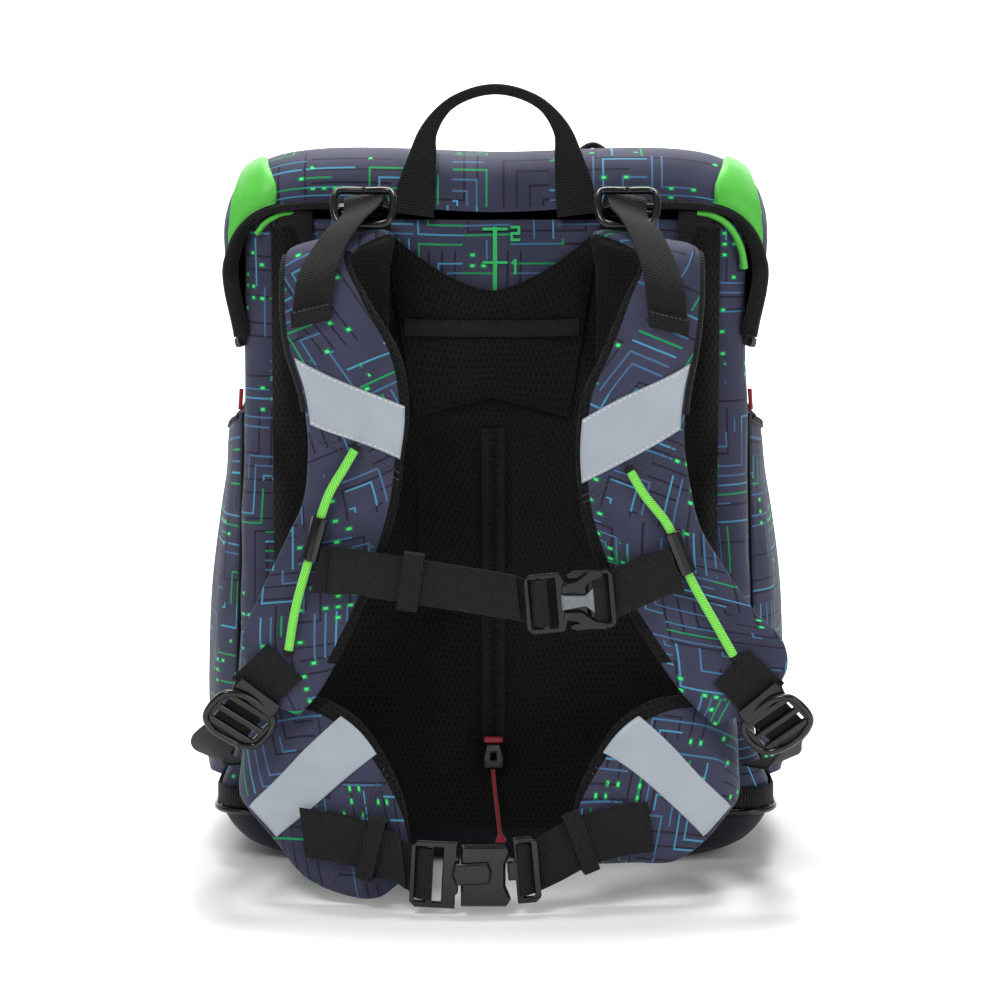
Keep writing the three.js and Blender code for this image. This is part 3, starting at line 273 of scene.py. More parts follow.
def axes(tree, vector):
    """The x and the y of a vector."""
    return put(tree, "SeparateXYZ", vector), put(tree, "SeparateXYZ", vector, out=1)


def ripple(tree, value, pitch):
    """A sine wave along a value in mm, with its crests pitch mm apart."""
    return calc(tree, "SINE", calc(tree, "MULTIPLY", value, 2 * math.pi / pitch))


def wire(shader, **sockets):
    """Links outputs to the shader's sockets of these names, which are written with _ for a space."""
    for socket, value in sockets.items():
        shader.id_data.links.new(value, shader.inputs[socket.replace("_", " ")])


def braided(name, colour, dark, pitch):
    """A braided cord: slanting ribs, drawn at pitch mm where the real ones are 0.8 mm, so that they show."""
    material, tree, shader = surface(name, Roughness=0.7, Sheen_Weight=0.25)
    place = put(tree, "UVMap", uv_map="mm")
    x, y = axes(tree, place)
    slant = calc(tree, "ADD", calc(tree, "MULTIPLY", x, 0.9), y)
    level = put(tree, "MapRange", ripple(tree, slant, pitch), -1.0, 1.0, 0.0, 1.0)
    # The dark colour fills the grooves between the slanting ribs: painted shade. The crests keep the cord's
    # own colour.
    wire(shader, Base_Color=blend(tree, level, dark, colour), Normal=relief(tree, level, 0.6, 0.0003))
    return material


# The darker red is painted shade in the braid's grooves.
red_braid = braided("braided_red_polyester", "#a3101f", "#6c0a14", 1.3)
cord_route = [
    wearer(-1.5, 10.6, 58.4), wearer(-0.6, 16, 50), wearer(0.8, 17, 38), wearer(2.2, 16.5, 26),
    wearer(3.6, 16.5, 14.5),
]


def cord_radius(share):
    """The cord's radius in mm at a share of its length, with the knot near the end."""
    return 1.15 + 1.9 * math.exp(-(((share - 0.9) / 0.055) ** 2))


pull_cord = tube("zip_pull_cord", cord_route, cord_radius, [red_braid], 12, 70)
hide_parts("pull_cord")

# The body
# A box of printed polyester over foam and board, sewn into a sleeve that flares onto the base tub.
# The cloth is taut, with a soft fold here and there, and its print is a maze of thin bright lines.


def lines(tree, place, block, count, width, seed):
    """Nested corners and stripes in blocks of block mm. Returns the line mask and two random numbers."""
    grid = put(tree, "VectorMath", place, (1 / block, 1 / block, 1), operation="MULTIPLY")
    grid = put(tree, "VectorMath", grid, (seed, seed * 0.37, 0), operation="ADD")
    cell = put(tree, "VectorMath", grid, operation="FLOOR")
    inside = put(tree, "VectorMath", grid, operation="FRACTION")
    dice = put(tree, "TexWhiteNoise", cell, noise_dimensions="2D", out=1)
    red, green, blue = (put(tree, "SeparateColor", dice, out=k) for k in range(3))
    x, y = axes(tree, inside)
    flip_x = calc(tree, "SUBTRACT", calc(tree, "GREATER_THAN", red, 0.5), x)
    flip_y = calc(tree, "SUBTRACT", calc(tree, "GREATER_THAN", green, 0.5), y)
    x = calc(tree, "ABSOLUTE", flip_x)
    y = calc(tree, "ABSOLUTE", flip_y)
    corner = calc(tree, "MAXIMUM", x, y)
    stripe = put(tree, "Mix", named={0: calc(tree, "GREATER_THAN", blue, 0.74), 2: x, 3: y})
    depth = put(tree, "Mix", named={0: calc(tree, "GREATER_THAN", blue, 0.52), 2: corner, 3: stripe})
    steps = calc(tree, "MULTIPLY", depth, float(count))
    index = calc(tree, "FLOOR", steps)
    offset = calc(tree, "SUBTRACT", calc(tree, "FRACT", steps), 0.5)
    offset = calc(tree, "ABSOLUTE", offset)
    line = calc(tree, "LESS_THAN", offset, width * count / block / 2)
    address = put(tree, "VectorMath", cell, put(tree, "CombineXYZ", index, index, index), operation="ADD")
    address = put(tree, "VectorMath", address, put(tree, "CombineXYZ", red, green, seed), operation="ADD")
    chance = put(tree, "TexWhiteNoise", address, noise_dimensions="3D", out=1)
    value = put(tree, "SeparateColor", chance)
    other = put(tree, "SeparateColor", chance, out=1)
    return line, value, other


def weave(tree, place, pitch, strength, distance):
    """The bump of a plain weave, with its threads pitch mm apart."""
    warp, weft = (ripple(tree, value, pitch) for value in axes(tree, place))
    cross = calc(tree, "MULTIPLY", warp, weft)
    grain = put(tree, "TexNoise", place, named={"Scale": 0.5, "Detail": 3.0})
    return relief(tree, calc(tree, "ADD", cross, grain), strength, distance)


# Printed polyester: a dull violet grey twill with steel blue, cyan and green lines and glowing green
# dots. Its weave is 0.5 mm in reality, drawn at 1.3 mm so that it shows.
printed, tree, shader = surface(
    "printed_polyester", Roughness=0.72, Sheen_Weight=0.06, Specular_IOR_Level=0.25)
print_place = put(tree, "UVMap", uv_map="mm")
zone = put(tree, "TexNoise", print_place, named={"Scale": 0.013, "Detail": 1.0}, noise_dimensions="2D")
fade = put(tree, "TexNoise", print_place, named={"Scale": 0.03, "Detail": 2.0}, noise_dimensions="2D")
ground = blend(tree, fade, "#262a3d", "#3d3d56")
line, chance, other = lines(tree, print_place, 44.0, 6, 1.2, 4.2)
keep = calc(tree, "GREATER_THAN", chance, 0.38)
dark_mask = calc(tree, "MULTIPLY", line, keep)
coloured = blend(tree, dark_mask, ground, "#1c1629")
line, chance, other = lines(tree, print_place, 27.0, 5, 1.0, 1.7)
level = put(tree, "MapRange", zone, 0.35, 0.62, 0.74, 0.4)
keep = calc(tree, "GREATER_THAN", chance, level)
bright_mask = calc(tree, "MULTIPLY", line, keep)
ramp = tree.nodes.new("ShaderNodeValToRGB")
ramp.color_ramp.interpolation = "CONSTANT"
line_colours = [(0.0, "#3a6c90"), (0.3, "#4387a8"), (0.55, "#42648a"), (0.72, "#119150"), (0.93, "#3d9dbe")]
for position, code in line_colours[1:]:
    ramp.color_ramp.elements.new(position)
ramp.color_ramp.elements.remove(ramp.color_ramp.elements[-1])
for element, (position, code) in zip(ramp.color_ramp.elements, line_colours):
    element.position = position
    element.color = linear(code)
tree.links.new(other, ramp.inputs["Fac"])
coloured = blend(tree, bright_mask, coloured, ramp.outputs["Color"])
dot_pitch = 6.2
spot = put(tree, "VectorMath", print_place, (1 / dot_pitch, 1 / dot_pitch, 1), operation="MULTIPLY")
spot_cell = put(tree, "VectorMath", spot, operation="FLOOR")
spot_dice = put(tree, "TexWhiteNoise", spot_cell, noise_dimensions="2D")
spot_place = put(tree, "VectorMath", put(tree, "VectorMath", spot, operation="FRACTION"),
                 (0.5, 0.5, 0), operation="SUBTRACT")
spot_x = calc(tree, "ABSOLUTE", put(tree, "SeparateXYZ", spot_place))
spot_y = calc(tree, "ABSOLUTE", put(tree, "SeparateXYZ", spot_place, out=1))
spot_y = calc(tree, "MULTIPLY", spot_y, 1.5)
spot_far = calc(tree, "SMOOTH_MAX", spot_x, spot_y, 0.15)
spot_zone = put(tree, "TexNoise", print_place, named={"Scale": 0.021, "Detail": 0.0}, noise_dimensions="2D")
spot_here = calc(tree, "MULTIPLY", calc(tree, "GREATER_THAN", spot_dice, 0.7),
                 calc(tree, "GREATER_THAN", spot_zone, 0.6))
glow = calc(tree, "MULTIPLY", put(tree, "MapRange", spot_far, 0.16, 0.42, 0.55, 0.0), spot_here)
coloured = blend(tree, glow, coloured, "#0f8f4a")
core = calc(tree, "MULTIPLY", calc(tree, "LESS_THAN", spot_far, 0.19), spot_here)
coloured = blend(tree, core, coloured, "#3fe076")
wire(shader, Base_Color=coloured, Normal=weave(tree, print_place, 1.3, 0.35, 0.0002))

# Lining: a thin dark nylon taffeta with a green cast, seen under the lid's flaps.
lining, tree, shader = surface("dark_nylon_lining", Roughness=0.5, Sheen_Weight=0.2)
lining_place = put(tree, "UVMap", uv_map="mm")
lining_fade = put(tree, "TexNoise", lining_place, named={"Scale": 0.02, "Detail": 2.0})
lining_colour = blend(tree, lining_fade, "#0e1412", "#1c2a24")
wire(shader, Base_Color=lining_colour, Normal=weave(tree, lining_place, 1.2, 0.25, 0.0002))

tub_height = 30.0
body_floor = 30.3
body_top = 368.0
half_back = 141.0
half_base = 159.0
back_corner, front_corner = 18, 34


def ring(half, back, front, back_radius, front_radius, z, bow=0.0):
    """A horizontal ring with round corners, anticlockwise from above. Its sides and front swell by bow."""
    corners = [
        (half - back_radius, back + back_radius, -90, back_radius, (bow, 0)),
        (half - front_radius, front - front_radius, 0, front_radius, (0, bow)),
        (-half + front_radius, front - front_radius, 90, front_radius, (-bow, 0)),
        (-half + back_radius, back + back_radius, 180, back_radius, (0, 0)),
    ]
    points = []
    for k, (x, y, start, radius, swell) in enumerate(corners):
        for angle in np.radians(start + spread(7, 0, 90)):
            points.append((x + radius * math.cos(angle), y + radius * math.sin(angle), z))
        next_x, next_y, next_start, next_radius, _ = corners[(k + 1) % 4]
        angle = math.radians(next_start)
        end = np.array((next_x + next_radius * math.cos(angle), next_y + next_radius * math.sin(angle), z))
        begin = np.array(points[-1])
        for t in spread(16)[1:-1]:
            points.append(tuple(begin + (end - begin) * t + np.array((*swell, 0)) * math.sin(math.pi * t)))
    return np.array(points)


def crumpled(rings, amount, size, seed):
    """Moves a skin's points along a smooth random field, as slack cloth lies. amount and size in mm."""
    away = Vector((seed, 0, seed))
    fields = [[noise.noise_vector(Vector(p) / size + away) for p in row] for row in rings]
    return np.array(rings) + amount * np.array(fields)


def closed(points):
    """A ring's points with the first one again at the end."""
    return np.vstack([points, points[:1]])


body_rows = np.array([
    # height, flare, bow
    (0, 0.95, 0), (0.045, 0.9, 0), (0.1, 0.45, 1.5), (0.3, 0.28, 3.9), (0.55, 0.12, 3.9), (0.8, 0, 2.4),
    (1, 0, 0.9),
])


def body_ring(height, outward):
    """The sleeve's outline at a share of its height, moved outward by some mm."""
    flare = np.interp(height, body_rows[:, 0], body_rows[:, 1])
    bow = np.interp(height, body_rows[:, 0], body_rows[:, 2])
    return ring(half_back + flare * (half_base - half_back) + outward, back_y - outward, -back_y + outward,
                back_corner + outward, front_corner + outward,
                body_floor + height * (body_top - body_floor), bow)


def wall_at(z):
    """Half the body's width at a height in mm."""
    share = (z - body_floor) / (body_top - body_floor)
    return half_back + np.interp(share, body_rows[:, 0], body_rows[:, 1]) * (half_base - half_back)


body_heights = spread(64)
outer_rings = crumpled([body_ring(h, 0.0) for h in body_heights], 1.3, 34.0, 3.0)
inner_rings = np.array([body_ring(h, -3.0) for h in body_heights[::-1]])
body_rings = np.vstack([outer_rings, inner_rings, outer_rings[:1]])
body_across = lengths(closed(body_ring(0.7, 0.0)))
body_along = np.concatenate([body_heights, body_heights[::-1], [0]]) * (body_top - body_floor)
body = loft("body_sleeve", body_rings, body_across, body_along, [printed, lining], capped=False,
            slot_of=lambda i, j: 0 if i < 64 else 1, shift=(11, 7))
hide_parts("body_shell")

# The base
# A stiff tub wrapped in dense navy canvas stands under the body. A ribbed black band and a glossy
# round piping are sewn over the seam where body and tub meet.


def ribbed(name, light, dark, pitch, strength, unwrapped=True):
    """A webbing: ribs across its length, drawn at pitch mm where the real ones are about 1 mm."""
    material, tree, shader = surface(name, Roughness=0.7, Sheen_Weight=0.05, Specular_IOR_Level=0.2)
    place = put(tree, "UVMap", uv_map="mm")
    if not unwrapped:
        local = put(tree, "VectorMath", put(tree, "TexCoord", out=3), (1000, 1000, 1000),
                    operation="MULTIPLY")
        sideways, upwards = (put(tree, "SeparateXYZ", local, out=k) for k in (0, 2))
        place = put(tree, "CombineXYZ", upwards, sideways, 0.0)
    x, y = axes(tree, place)
    shake = put(tree, "TexNoise", place, named={"Scale": 0.35, "Detail": 2.0})
    y = calc(tree, "ADD", y, calc(tree, "MULTIPLY", shake, 0.5))
    rib = put(tree, "MapRange", ripple(tree, y, pitch), -1.0, 1.0, 0.0, 1.0)
    thread = put(tree, "MapRange", ripple(tree, x, 1.4), -1.0, 1.0, 0.0, 0.35)
    height = calc(tree, "ADD", rib, thread)
    # The rib troughs take the dark colour: painted shade. The shake adds random tone.
    rib_shade_and_tone = calc(tree, "ADD", calc(tree, "MULTIPLY", rib, 0.7), calc(tree, "MULTIPLY", shake, 0.4))
    wire(shader, Base_Color=blend(tree, rib_shade_and_tone, dark, light), Normal=relief(tree, height, strength, 0.0004))
    return material


# The darker colour of each webbing is painted shade in its rib troughs.
canvas = ribbed("navy_base_canvas", "#161c27", "#080b11", 1.5, 0.5)
black_webbing = ribbed("black_polyamide_webbing", "#1b1b1c", "#030304", 1.5, 0.9)

tub_rows = np.array([(0, 1), (0.08, 0.68), (0.3, 0.36), (0.6, 0.16), (1, 0)])


def tub_ring(height, wall, inset):
    """The tub's outline at a share of its height, inset mm in from its widest and wall mm inside."""
    return ring(half_base - inset - wall, back_y + inset * 0.6 + wall, 103 - inset * 0.6 - wall,
                30 - wall, 42 - wall, max(height * tub_height, wall))


tub_inset, tub_wall = 40, 3.0
tub_curve = curve([(h, i, 0) for h, i in tub_rows], spread(18))
tub_outside = [tub_ring(min(max(h, 0), 1), 0.0, i * tub_inset) for h, i, _ in tub_curve]
tub_inside = [tub_ring(min(max(h, 0), 1), tub_wall, i * tub_inset) for h, i, _ in tub_curve[::-1][:-4]]
tub_floor = [[(x * k, y * k, 0.0) for x, y, z in tub_outside[0]] for k in (0.02, 0.5)]
tub_pan = [[(x * k, y * k, tub_wall) for x, y, z in tub_inside[-1]] for k in (0.5, 0.02)]
tub_rings = np.array([*tub_floor, *tub_outside, *tub_inside, *tub_pan])
tub_along = lengths(tub_rings[:, 10])
tub_across = lengths(closed(tub_outside[-1]))
tub = loft("base_tub_canvas", tub_rings, tub_across, tub_along, [canvas], capped=True)
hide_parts("base_tub")

band_heights = [33.9, 35.0, 44.8, 45.9]
band_outside = [body_ring(0, 1.8 - (0.6 if k in (0, 3) else 0)) * (1, 1, 0) + (0, 0, z)
                for k, z in enumerate(band_heights)]
band_inside = [body_ring(0, 0.3) * (1, 1, 0) + (0, 0, z) for z in (45.9, 33.9)]
band_rings = np.array([*band_outside, *band_inside, band_outside[0]])
base_across = lengths(closed(body_ring(0, 1)))
band = loft("base_band_webbing", band_rings, base_across, [0, 1, 11, 12, 14, 26, 28], [black_webbing],
            capped=False, turn=90)
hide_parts("base_band")

# Moulded black plastic: acetal and PVC with a smooth moulded skin, so clear soft highlights.
plastic, tree, shader = surface("moulded_black_acetal", Base_Color=linear("#0b0b0c"), IOR=1.48)
plastic_place = put(tree, "TexCoord", out=3)
plastic_grain = put(tree, "TexNoise", plastic_place, named={"Scale": 900.0, "Detail": 3.0})
plastic_rough = put(tree, "MapRange", plastic_grain, 0.3, 0.7, 0.14, 0.26)
wire(shader, Roughness=plastic_rough, Normal=relief(tree, plastic_grain, 0.03, 0.0001))

piping_sides, piping_radius, piping_height = 12, 1.8, 32.1
piping_rings = []
for k in range(piping_sides + 1):
    angle = 2 * math.pi * k / piping_sides - math.pi
    outward = 0.3 + piping_radius * (1 + math.cos(angle))
    z = piping_height + piping_radius * math.sin(angle)
    piping_rings.append(body_ring(0, outward) * (1, 1, 0) + (0, 0, z))
piping = loft("base_piping_cord", piping_rings, base_across, np.arange(piping_sides + 1), [plastic],
              capped=False)
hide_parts("base_piping")

# The side pockets
# Gusseted bags of the same print stand off both sides, gathered a little by elastic at the mouth.
# The short red pulls of the zips above them keep the form of their solids.


def net(rows):
    """A smooth surface through rows of points in mm. Returns points for shares across and along."""

    def at(us, vs):
        columns = [curve([row[k] for row in rows], vs) for k in range(len(rows[0]))]
        if len(columns) == 2:
            return np.array([[a + (b - a) * u for u in us] for a, b in zip(*columns)])
        return np.array([curve([column[i] for column in columns], us) for i in range(len(vs))])

    return at


def normals(grid):
    """The directions in which a surface's grid faces."""
    across = np.gradient(grid, axis=1)
    along = np.gradient(grid, axis=0)
    made = np.cross(across, along)
    return made / np.maximum(np.linalg.norm(made, axis=2), 1e-9)[:, :, None]


def slab(name, grid, low, high, materials, face_slots=(0, 0), **extra):
    """A closed skin over a surface's grid, low and high mm along its normal. Both may be grids."""
    facing = normals(grid)
    low, high = (np.broadcast_to(np.asarray(v, float), grid.shape[:2])[:, :, None] for v in (low, high))
    top = grid + facing * high
    bottom = grid + facing * low
    rings = np.concatenate([top, bottom[:, ::-1]], axis=1)
    count = grid.shape[1]
    widths = np.array([lengths(row) for row in grid])
    widths = widths - widths[:, -1:] / 2
    across = np.concatenate([widths, widths[:, ::-1]], axis=1)
    along = lengths(grid[:, count // 2])
    chosen = extra.pop("slot_of", None) or (lambda i, j: face_slots[0] if j < count - 1 else face_slots[1])
    return loft(name, rings, across, along, materials, slot_of=chosen, **extra)


pocket_foot, pocket_height, pocket_back, pocket_width, pocket_depth = 48, 210, -76, 138, 20
pocket_columns, pocket_lines = 48, 80
pocket_rows = np.array([
    # height, bulge, dip
    (1, 0.5, 0.065), (0.95, 0.54, 0.045), (0.84, 0.6, 0.02), (0.7, 0.78, 0), (0.49, 1, 0), (0.22, 1, 0),
    (0.06, 0.85, 0), (0, 0.6, 0),
])
for side, label in ((-1, "left"), (1, "right")):
    rows = []
    for height, bulge, dip in pocket_rows:
        row = []
        for t in spread(12):
            along = t if side < 0 else 1 - t
            z = pocket_foot + (height - dip * math.sin(math.pi * t)) * pocket_height
            out = wall_at(z) + 0.8 + bulge * pocket_depth * math.sqrt(math.sin(math.pi * t))
            row.append((side * out, pocket_back + along * pocket_width, z))
        rows.append(row)
    grid = net(rows)(spread(pocket_columns), spread(pocket_lines))
    folds = np.zeros(grid.shape[:2])
    for i in range(grid.shape[0]):
        for j in range(grid.shape[1]):
            u, v = j / pocket_columns, i / pocket_lines
            rim = math.exp(-v / 0.16)
            depth = 1.1 * noise.noise(Vector((u * 9 + side, v * 3.2, 2.0))) * math.sin(math.pi * u)
            folds[i, j] = depth + 0.7 * rim * math.sin(u * 46) * math.sin(math.pi * u)
    pocket = slab(f"side_pocket_{label}_cloth", grid, folds, folds + 2.0, [printed, lining], (0, 1),
                  shift=(40 * side, 20))
    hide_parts(f"side_pocket_{label}")
    hem_line = grid[2] + normals(grid)[2] * (folds[2] + 2.2)[:, None]
    hem = tube(f"pocket_hem_{label}", hem_line[1:-1], 1.3, [black_webbing], 8, 60)

# The lid
# A stiff hood of the same print, hinged on the back wall, drops half way down the front. Black
# webbing is folded over the edges of its flaps, and green rubber corners guard its back.
lid_rows = [
    ((141, -91, 303), (146, -95, 346), (128, -100, 372.4), (-100, 372.4)),
    ((144, -78, 301), (147, -88, 368), (122, -98.5, 386), (-99.5, 388)),
    ((145, -60, 300), (148.5, -70, 374), (123, -88, 396), (-90, 398.5)),
    ((145.5, 0, 298), (149.5, 0, 380), (129, 0, 397.5), (0, 400.5)),
    ((145.5, 50, 292), (149.5, 60, 378), (131, 75, 395.5), (80, 398.5)),
    ((144, 84, 278), (148, 95, 368), (124, 103, 388), (108, 390)),
    ((137, 104, 258), (140, 107, 310), (114, 113, 340), (115, 342)),
    ((122, 108, 222), (124, 111, 250), (90, 114, 262), (116, 262)),
    ((100, 111, 198), (94, 112, 194), (56, 115, 189), (116, 187)),
]
lid_points = [
    [(-x, y, z) for x, y, z in (edge, low, high)] + [(0, *middle)] + [high, low, edge]
    for edge, low, high, middle in lid_rows
]
lid_net = net(lid_points)
lid_cells = 96
lid_us, lid_vs = spread(lid_cells), spread(lid_cells)
lid_grid = lid_net(lid_us, lid_vs)
lid_sag = np.array([[0.9 * noise.noise(Vector((u * 7, v * 6, 9.0))) for u in lid_us] for v in lid_vs])
lid_sag *= np.minimum(1, 8 * np.minimum(lid_us, 1 - lid_us))[None, :]
lid = slab("lid_cloth", lid_grid, lid_sag, lid_sag + 3.0, [printed, lining], (0, 1), shift=(5, 61))
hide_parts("lid")

binding_section = [(0.9, 0.0), (0.95, 0.75), (1.7, 1.0), (4.0, 1.0), (6.0, 0.8), (6.3, 0.0),
                   (6.0, -0.8), (4.0, -1.0), (1.7, -1.0), (0.95, -0.75)]
binding_across = [0, 2, 4, 6, 8, 9, 10, 12, 14, 16, 18]
lid_faces = normals(lid_grid)
for side, label, column, inner in ((-1, "left", 0, 4), (1, "right", lid_cells, lid_cells - 4)):
    rings = []
    for i in range(lid_cells + 1):
        inward = lid_grid[i, inner] - lid_grid[i, column]
        inward /= np.linalg.norm(inward)
        middle = lid_grid[i, column] + lid_faces[i, column] * 1.5
        rings.append([middle - inward * (away - 0.6) + lid_faces[i, column] * rise * 2.35
                      for away, rise in binding_section])
    binding = loft(f"lid_binding_{label}_webbing", rings, binding_across, lengths(lid_grid[:, column]),
                   [black_webbing])
    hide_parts(f"lid_binding_{label}")

# Green rubber: a soft matt thermoplastic with a fine sparked grain, lighter where light grazes it.
rubber, tree, shader = surface("moulded_green_rubber", IOR=1.5, Sheen_Weight=0.15)
rubber_place = put(tree, "TexCoord", out=3)
rubber_grain = put(tree, "TexNoise", rubber_place, named={"Scale": 700.0, "Detail": 2.0})
rubber_fade = put(tree, "TexNoise", rubber_place, named={"Scale": 30.0, "Detail": 2.0})
rubber_colour = blend(tree, rubber_fade, "#38a024", "#58c840")
rubber_rough = put(tree, "MapRange", rubber_grain, 0.3, 0.7, 0.4, 0.55)
wire(shader, Base_Color=rubber_colour, Roughness=rubber_rough,
     Normal=relief(tree, rubber_grain, 0.2, 0.0003))
for side, label in ((-1, "left"), (1, "right")):
    grid = []
    for t in spread(40):
        outer, inner = 0.165 + 0.13 * t, 0.345 - 0.035 * t
        shares = outer + (inner - outer) * spread(30)
        grid.append(lid_net(shares if side < 0 else 1 - shares[::-1], [0.025 + 0.395 * t])[0])
    grid = np.array(grid)
    cap_us = spread(30) if side < 0 else spread(30)[::-1]
    cap_vs = spread(40)
    edge_u = 1 - np.abs(2 * cap_us - 1) ** 6
    edge_v = 1 - np.abs(2 * cap_vs - 1) ** 8
    ridge = 0.8 * np.exp(-((cap_us - 0.5) / 0.1) ** 2)[None, :] * (1 - cap_vs[:, None])
    side_rim = np.exp(-((cap_us - 0.1) / 0.07) ** 2)[None, :]
    rim = side_rim + 0.9 * np.exp(-((cap_vs - 0.06) / 0.04) ** 2)[:, None]
    rise = 4.1 + (2.0 + ridge + rim) * edge_v[:, None] * edge_u[None, :]
    cap = slab(f"lid_corner_{label}_rubber", grid, 3.9, rise, [rubber])
    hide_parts(f"lid_cap_{label}")

# The flaps' back edges
# Wide black webbing binds the back edge of both flaps where they stand off the body, and a moulded
# green lip shows beneath it at the corners. A small webbing loop stands behind the lid's top.
for side, label, columns in ((-1, "left", range(0, 43)), (1, "right", range(lid_cells, 53, -1))):
    rings = []
    for j in columns:
        inward = lid_grid[3, j] - lid_grid[0, j]
        inward /= np.linalg.norm(inward)
        middle = lid_grid[0, j] + lid_faces[0, j] * 1.5
        thick = 4.6 if j != columns[-1] else 2.4
        rings.append([middle - inward * (away - 2.2) + lid_faces[0, j] * rise * thick
                      for away, rise in binding_section])
    rear = loft(f"lid_rear_binding_{label}", rings, binding_across, lengths(lid_grid[0, list(columns)]),
                [black_webbing])
front_edge = lid_grid[lid_cells, 3:94] + lid_faces[lid_cells, 3:94] * 1.5
front_hem = tube("lid_front_binding", front_edge, 1.9, [black_webbing], 10, 120)
lip_path = [(112, -102, 372), (119, -102.5, 371), (127, -102, 367), (133, -101, 360), (137, -100, 351),
            (139, -98, 341)]
for side, label, count in ((-1, "left", 4), (1, "right", 6)):
    path = [(side * x, y, z) for x, y, z in lip_path[:count]]
    lip = tube(f"corner_lip_{label}_rubber", path, 1.9 if side > 0 else 1.5, [rubber], 12, 40)
loop_path = [(50, 99, 394), (53, 101, 403), (60, 102, 406.5), (67, 101, 403), (70, 99, 394)]
loop = tube("lid_top_loop_webbing", loop_path, 1.9, [black_webbing], 10, 40)

# The handle
# One webbing is sewn flat to the lid's hinge at both ends and folded narrow over the grip.
# x, height, reach, width and thickness at stations up the left half
handle_rows = [
    (45.5, 371, 4.4, 23, 1.8), (43.5, 386, 4.6, 21, 2.2), (40.5, 402, 4.5, 16, 5), (37, 417, 2, 10, 9),
    (27, 430.5, 1, 6.5, 12), (14, 437.5, 1, 6, 13), (0, 440, 1, 6, 13),
]
handle_all = [(-x, r, z, w, d) for x, z, r, w, d in handle_rows]
handle_all += [(x, r, z, w, d) for x, z, r, w, d in handle_rows[-2::-1]]
handle_path = curve([wearer(x, r, z) for x, r, z, w, d in handle_all], spread(96))
handle_size = curve([(w, d, 0) for x, r, z, w, d in handle_all], spread(96))
handle_section = [
    (-1, 0.3), (-0.97, 0.75), (-0.85, 1), (-0.4, 1), (0, 1), (0.4, 1), (0.85, 1), (0.97, 0.75), (1, 0.3),
]
handle_section = handle_section + [(a, -b) for a, b in handle_section[::-1]]
handle_tangent = np.gradient(handle_path, axis=0)
rings = []
for middle, along, (width, depth, _) in zip(handle_path, handle_tangent, handle_size):
    across = np.cross((0, 1, 0), along)
    across /= np.linalg.norm(across)
    rings.append([middle - across * a * width / 2 + np.array((0, b * depth / 2, 0))
                  for a, b in handle_section])
handle_across = [12.5 * a for a, b in handle_section] + [-12.5]
handle = loft("carrying_handle_webbing", rings, handle_across, lengths(handle_path), [black_webbing])
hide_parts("handle")

# The padded back
# Lumbar and shoulder pads of foam under black air mesh stand on the back wall with vents between
# them, and long bolsters run down both sides. The mesh is a warp knit with staggered oval holes.
mesh, tree, shader = surface(
    "black_air_mesh", Roughness=0.85, Sheen_Weight=0.04, Specular_IOR_Level=0.15)
hole_pitch_x, hole_pitch_y = 3.1, 3.3
mesh_place = put(tree, "UVMap", uv_map="mm")
mesh_x, mesh_y = axes(tree, mesh_place)
mesh_row = calc(tree, "MULTIPLY", mesh_y, 1 / hole_pitch_y)
mesh_shift = calc(tree, "MULTIPLY", calc(tree, "FLOOR", mesh_row), 0.5)
mesh_column = calc(tree, "ADD", calc(tree, "MULTIPLY", mesh_x, 1 / hole_pitch_x), mesh_shift)
mesh_a = calc(tree, "SUBTRACT", calc(tree, "FRACT", mesh_column), 0.5)
mesh_b = calc(tree, "SUBTRACT", calc(tree, "FRACT", mesh_row), 0.5)
mesh_a = calc(tree, "MULTIPLY", mesh_a, hole_pitch_x)
mesh_b = calc(tree, "MULTIPLY", mesh_b, 2.1)
mesh_far = put(tree, "VectorMath", put(tree, "CombineXYZ", mesh_a, mesh_b, 0.0),
               operation="LENGTH", out=1)
mesh_open = put(tree, "MapRange", mesh_far, 0.45, 0.95, 0.0, 1.0)
mesh_fuzz = put(tree, "TexNoise", mesh_place, named={"Scale": 0.9, "Detail": 2.0})
mesh_tone = calc(tree, "MULTIPLY", mesh_open, mesh_fuzz)
# The holes take the near black colour: the dark layer under the knit, with painted shade in them. The fuzz
# is random tone.
mesh_colour = blend(tree, mesh_tone, "#020202", "#1b1b1c")
wire(shader, Base_Color=mesh_colour, Normal=relief(tree, mesh_tone, 0.8, 0.0007))


def yoke_top(x):
    """The height of the yoke's scooped upper edge."""
    return 329 + 35 * min(abs(x + 2) / 60, 1) ** 1.6


def yoke_bottom(x):
    """The height of the yoke's lower edge, an open V."""
    return 269 - 0.25 * abs(x + 2)


# The pads' middles, half widths, half heights and rises, the same on both sides
pads = [(26.5, 200, 17.5, 46, 7.2), (54, 98, 43, 50, 9.0), (78, 198, 25, 46, 3.6)]


def panel_rise(x, z):
    """How far the back panel's pads stand out at a place."""
    made = 0.0
    for pad_x, pad_z, half_x, half_z, rise in pads:
        a = min(abs(abs(x) - pad_x) / half_x, 1)
        b = min(abs(z - pad_z) / half_z, 1)
        made = max(made, rise * (1 - a**5) * (1 - b**5))
    return 3 + made


panel_grid, panel_low = [], []
for v in spread(150):
    row, low = [], []
    for u in spread(150):
        x = 103 * (1 - 2 * u)
        top = min(yoke_top(x) - 6, 350)
        z = top + (24 - top) * v
        row.append(wearer(x, 0, z))
        low.append(0.3 + 4.1 / (1 + math.exp((z - 52) / 1.5)))
    panel_grid.append(row)
    panel_low.append(low)
panel_grid, panel_low = np.array(panel_grid, float), np.array(panel_low)
panel_high = panel_low + np.array([[panel_rise(p[0], p[2]) for p in row] for row in panel_grid])
panel = slab("back_panel_mesh", panel_grid, panel_low, panel_high, [mesh])
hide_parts("back_panel")

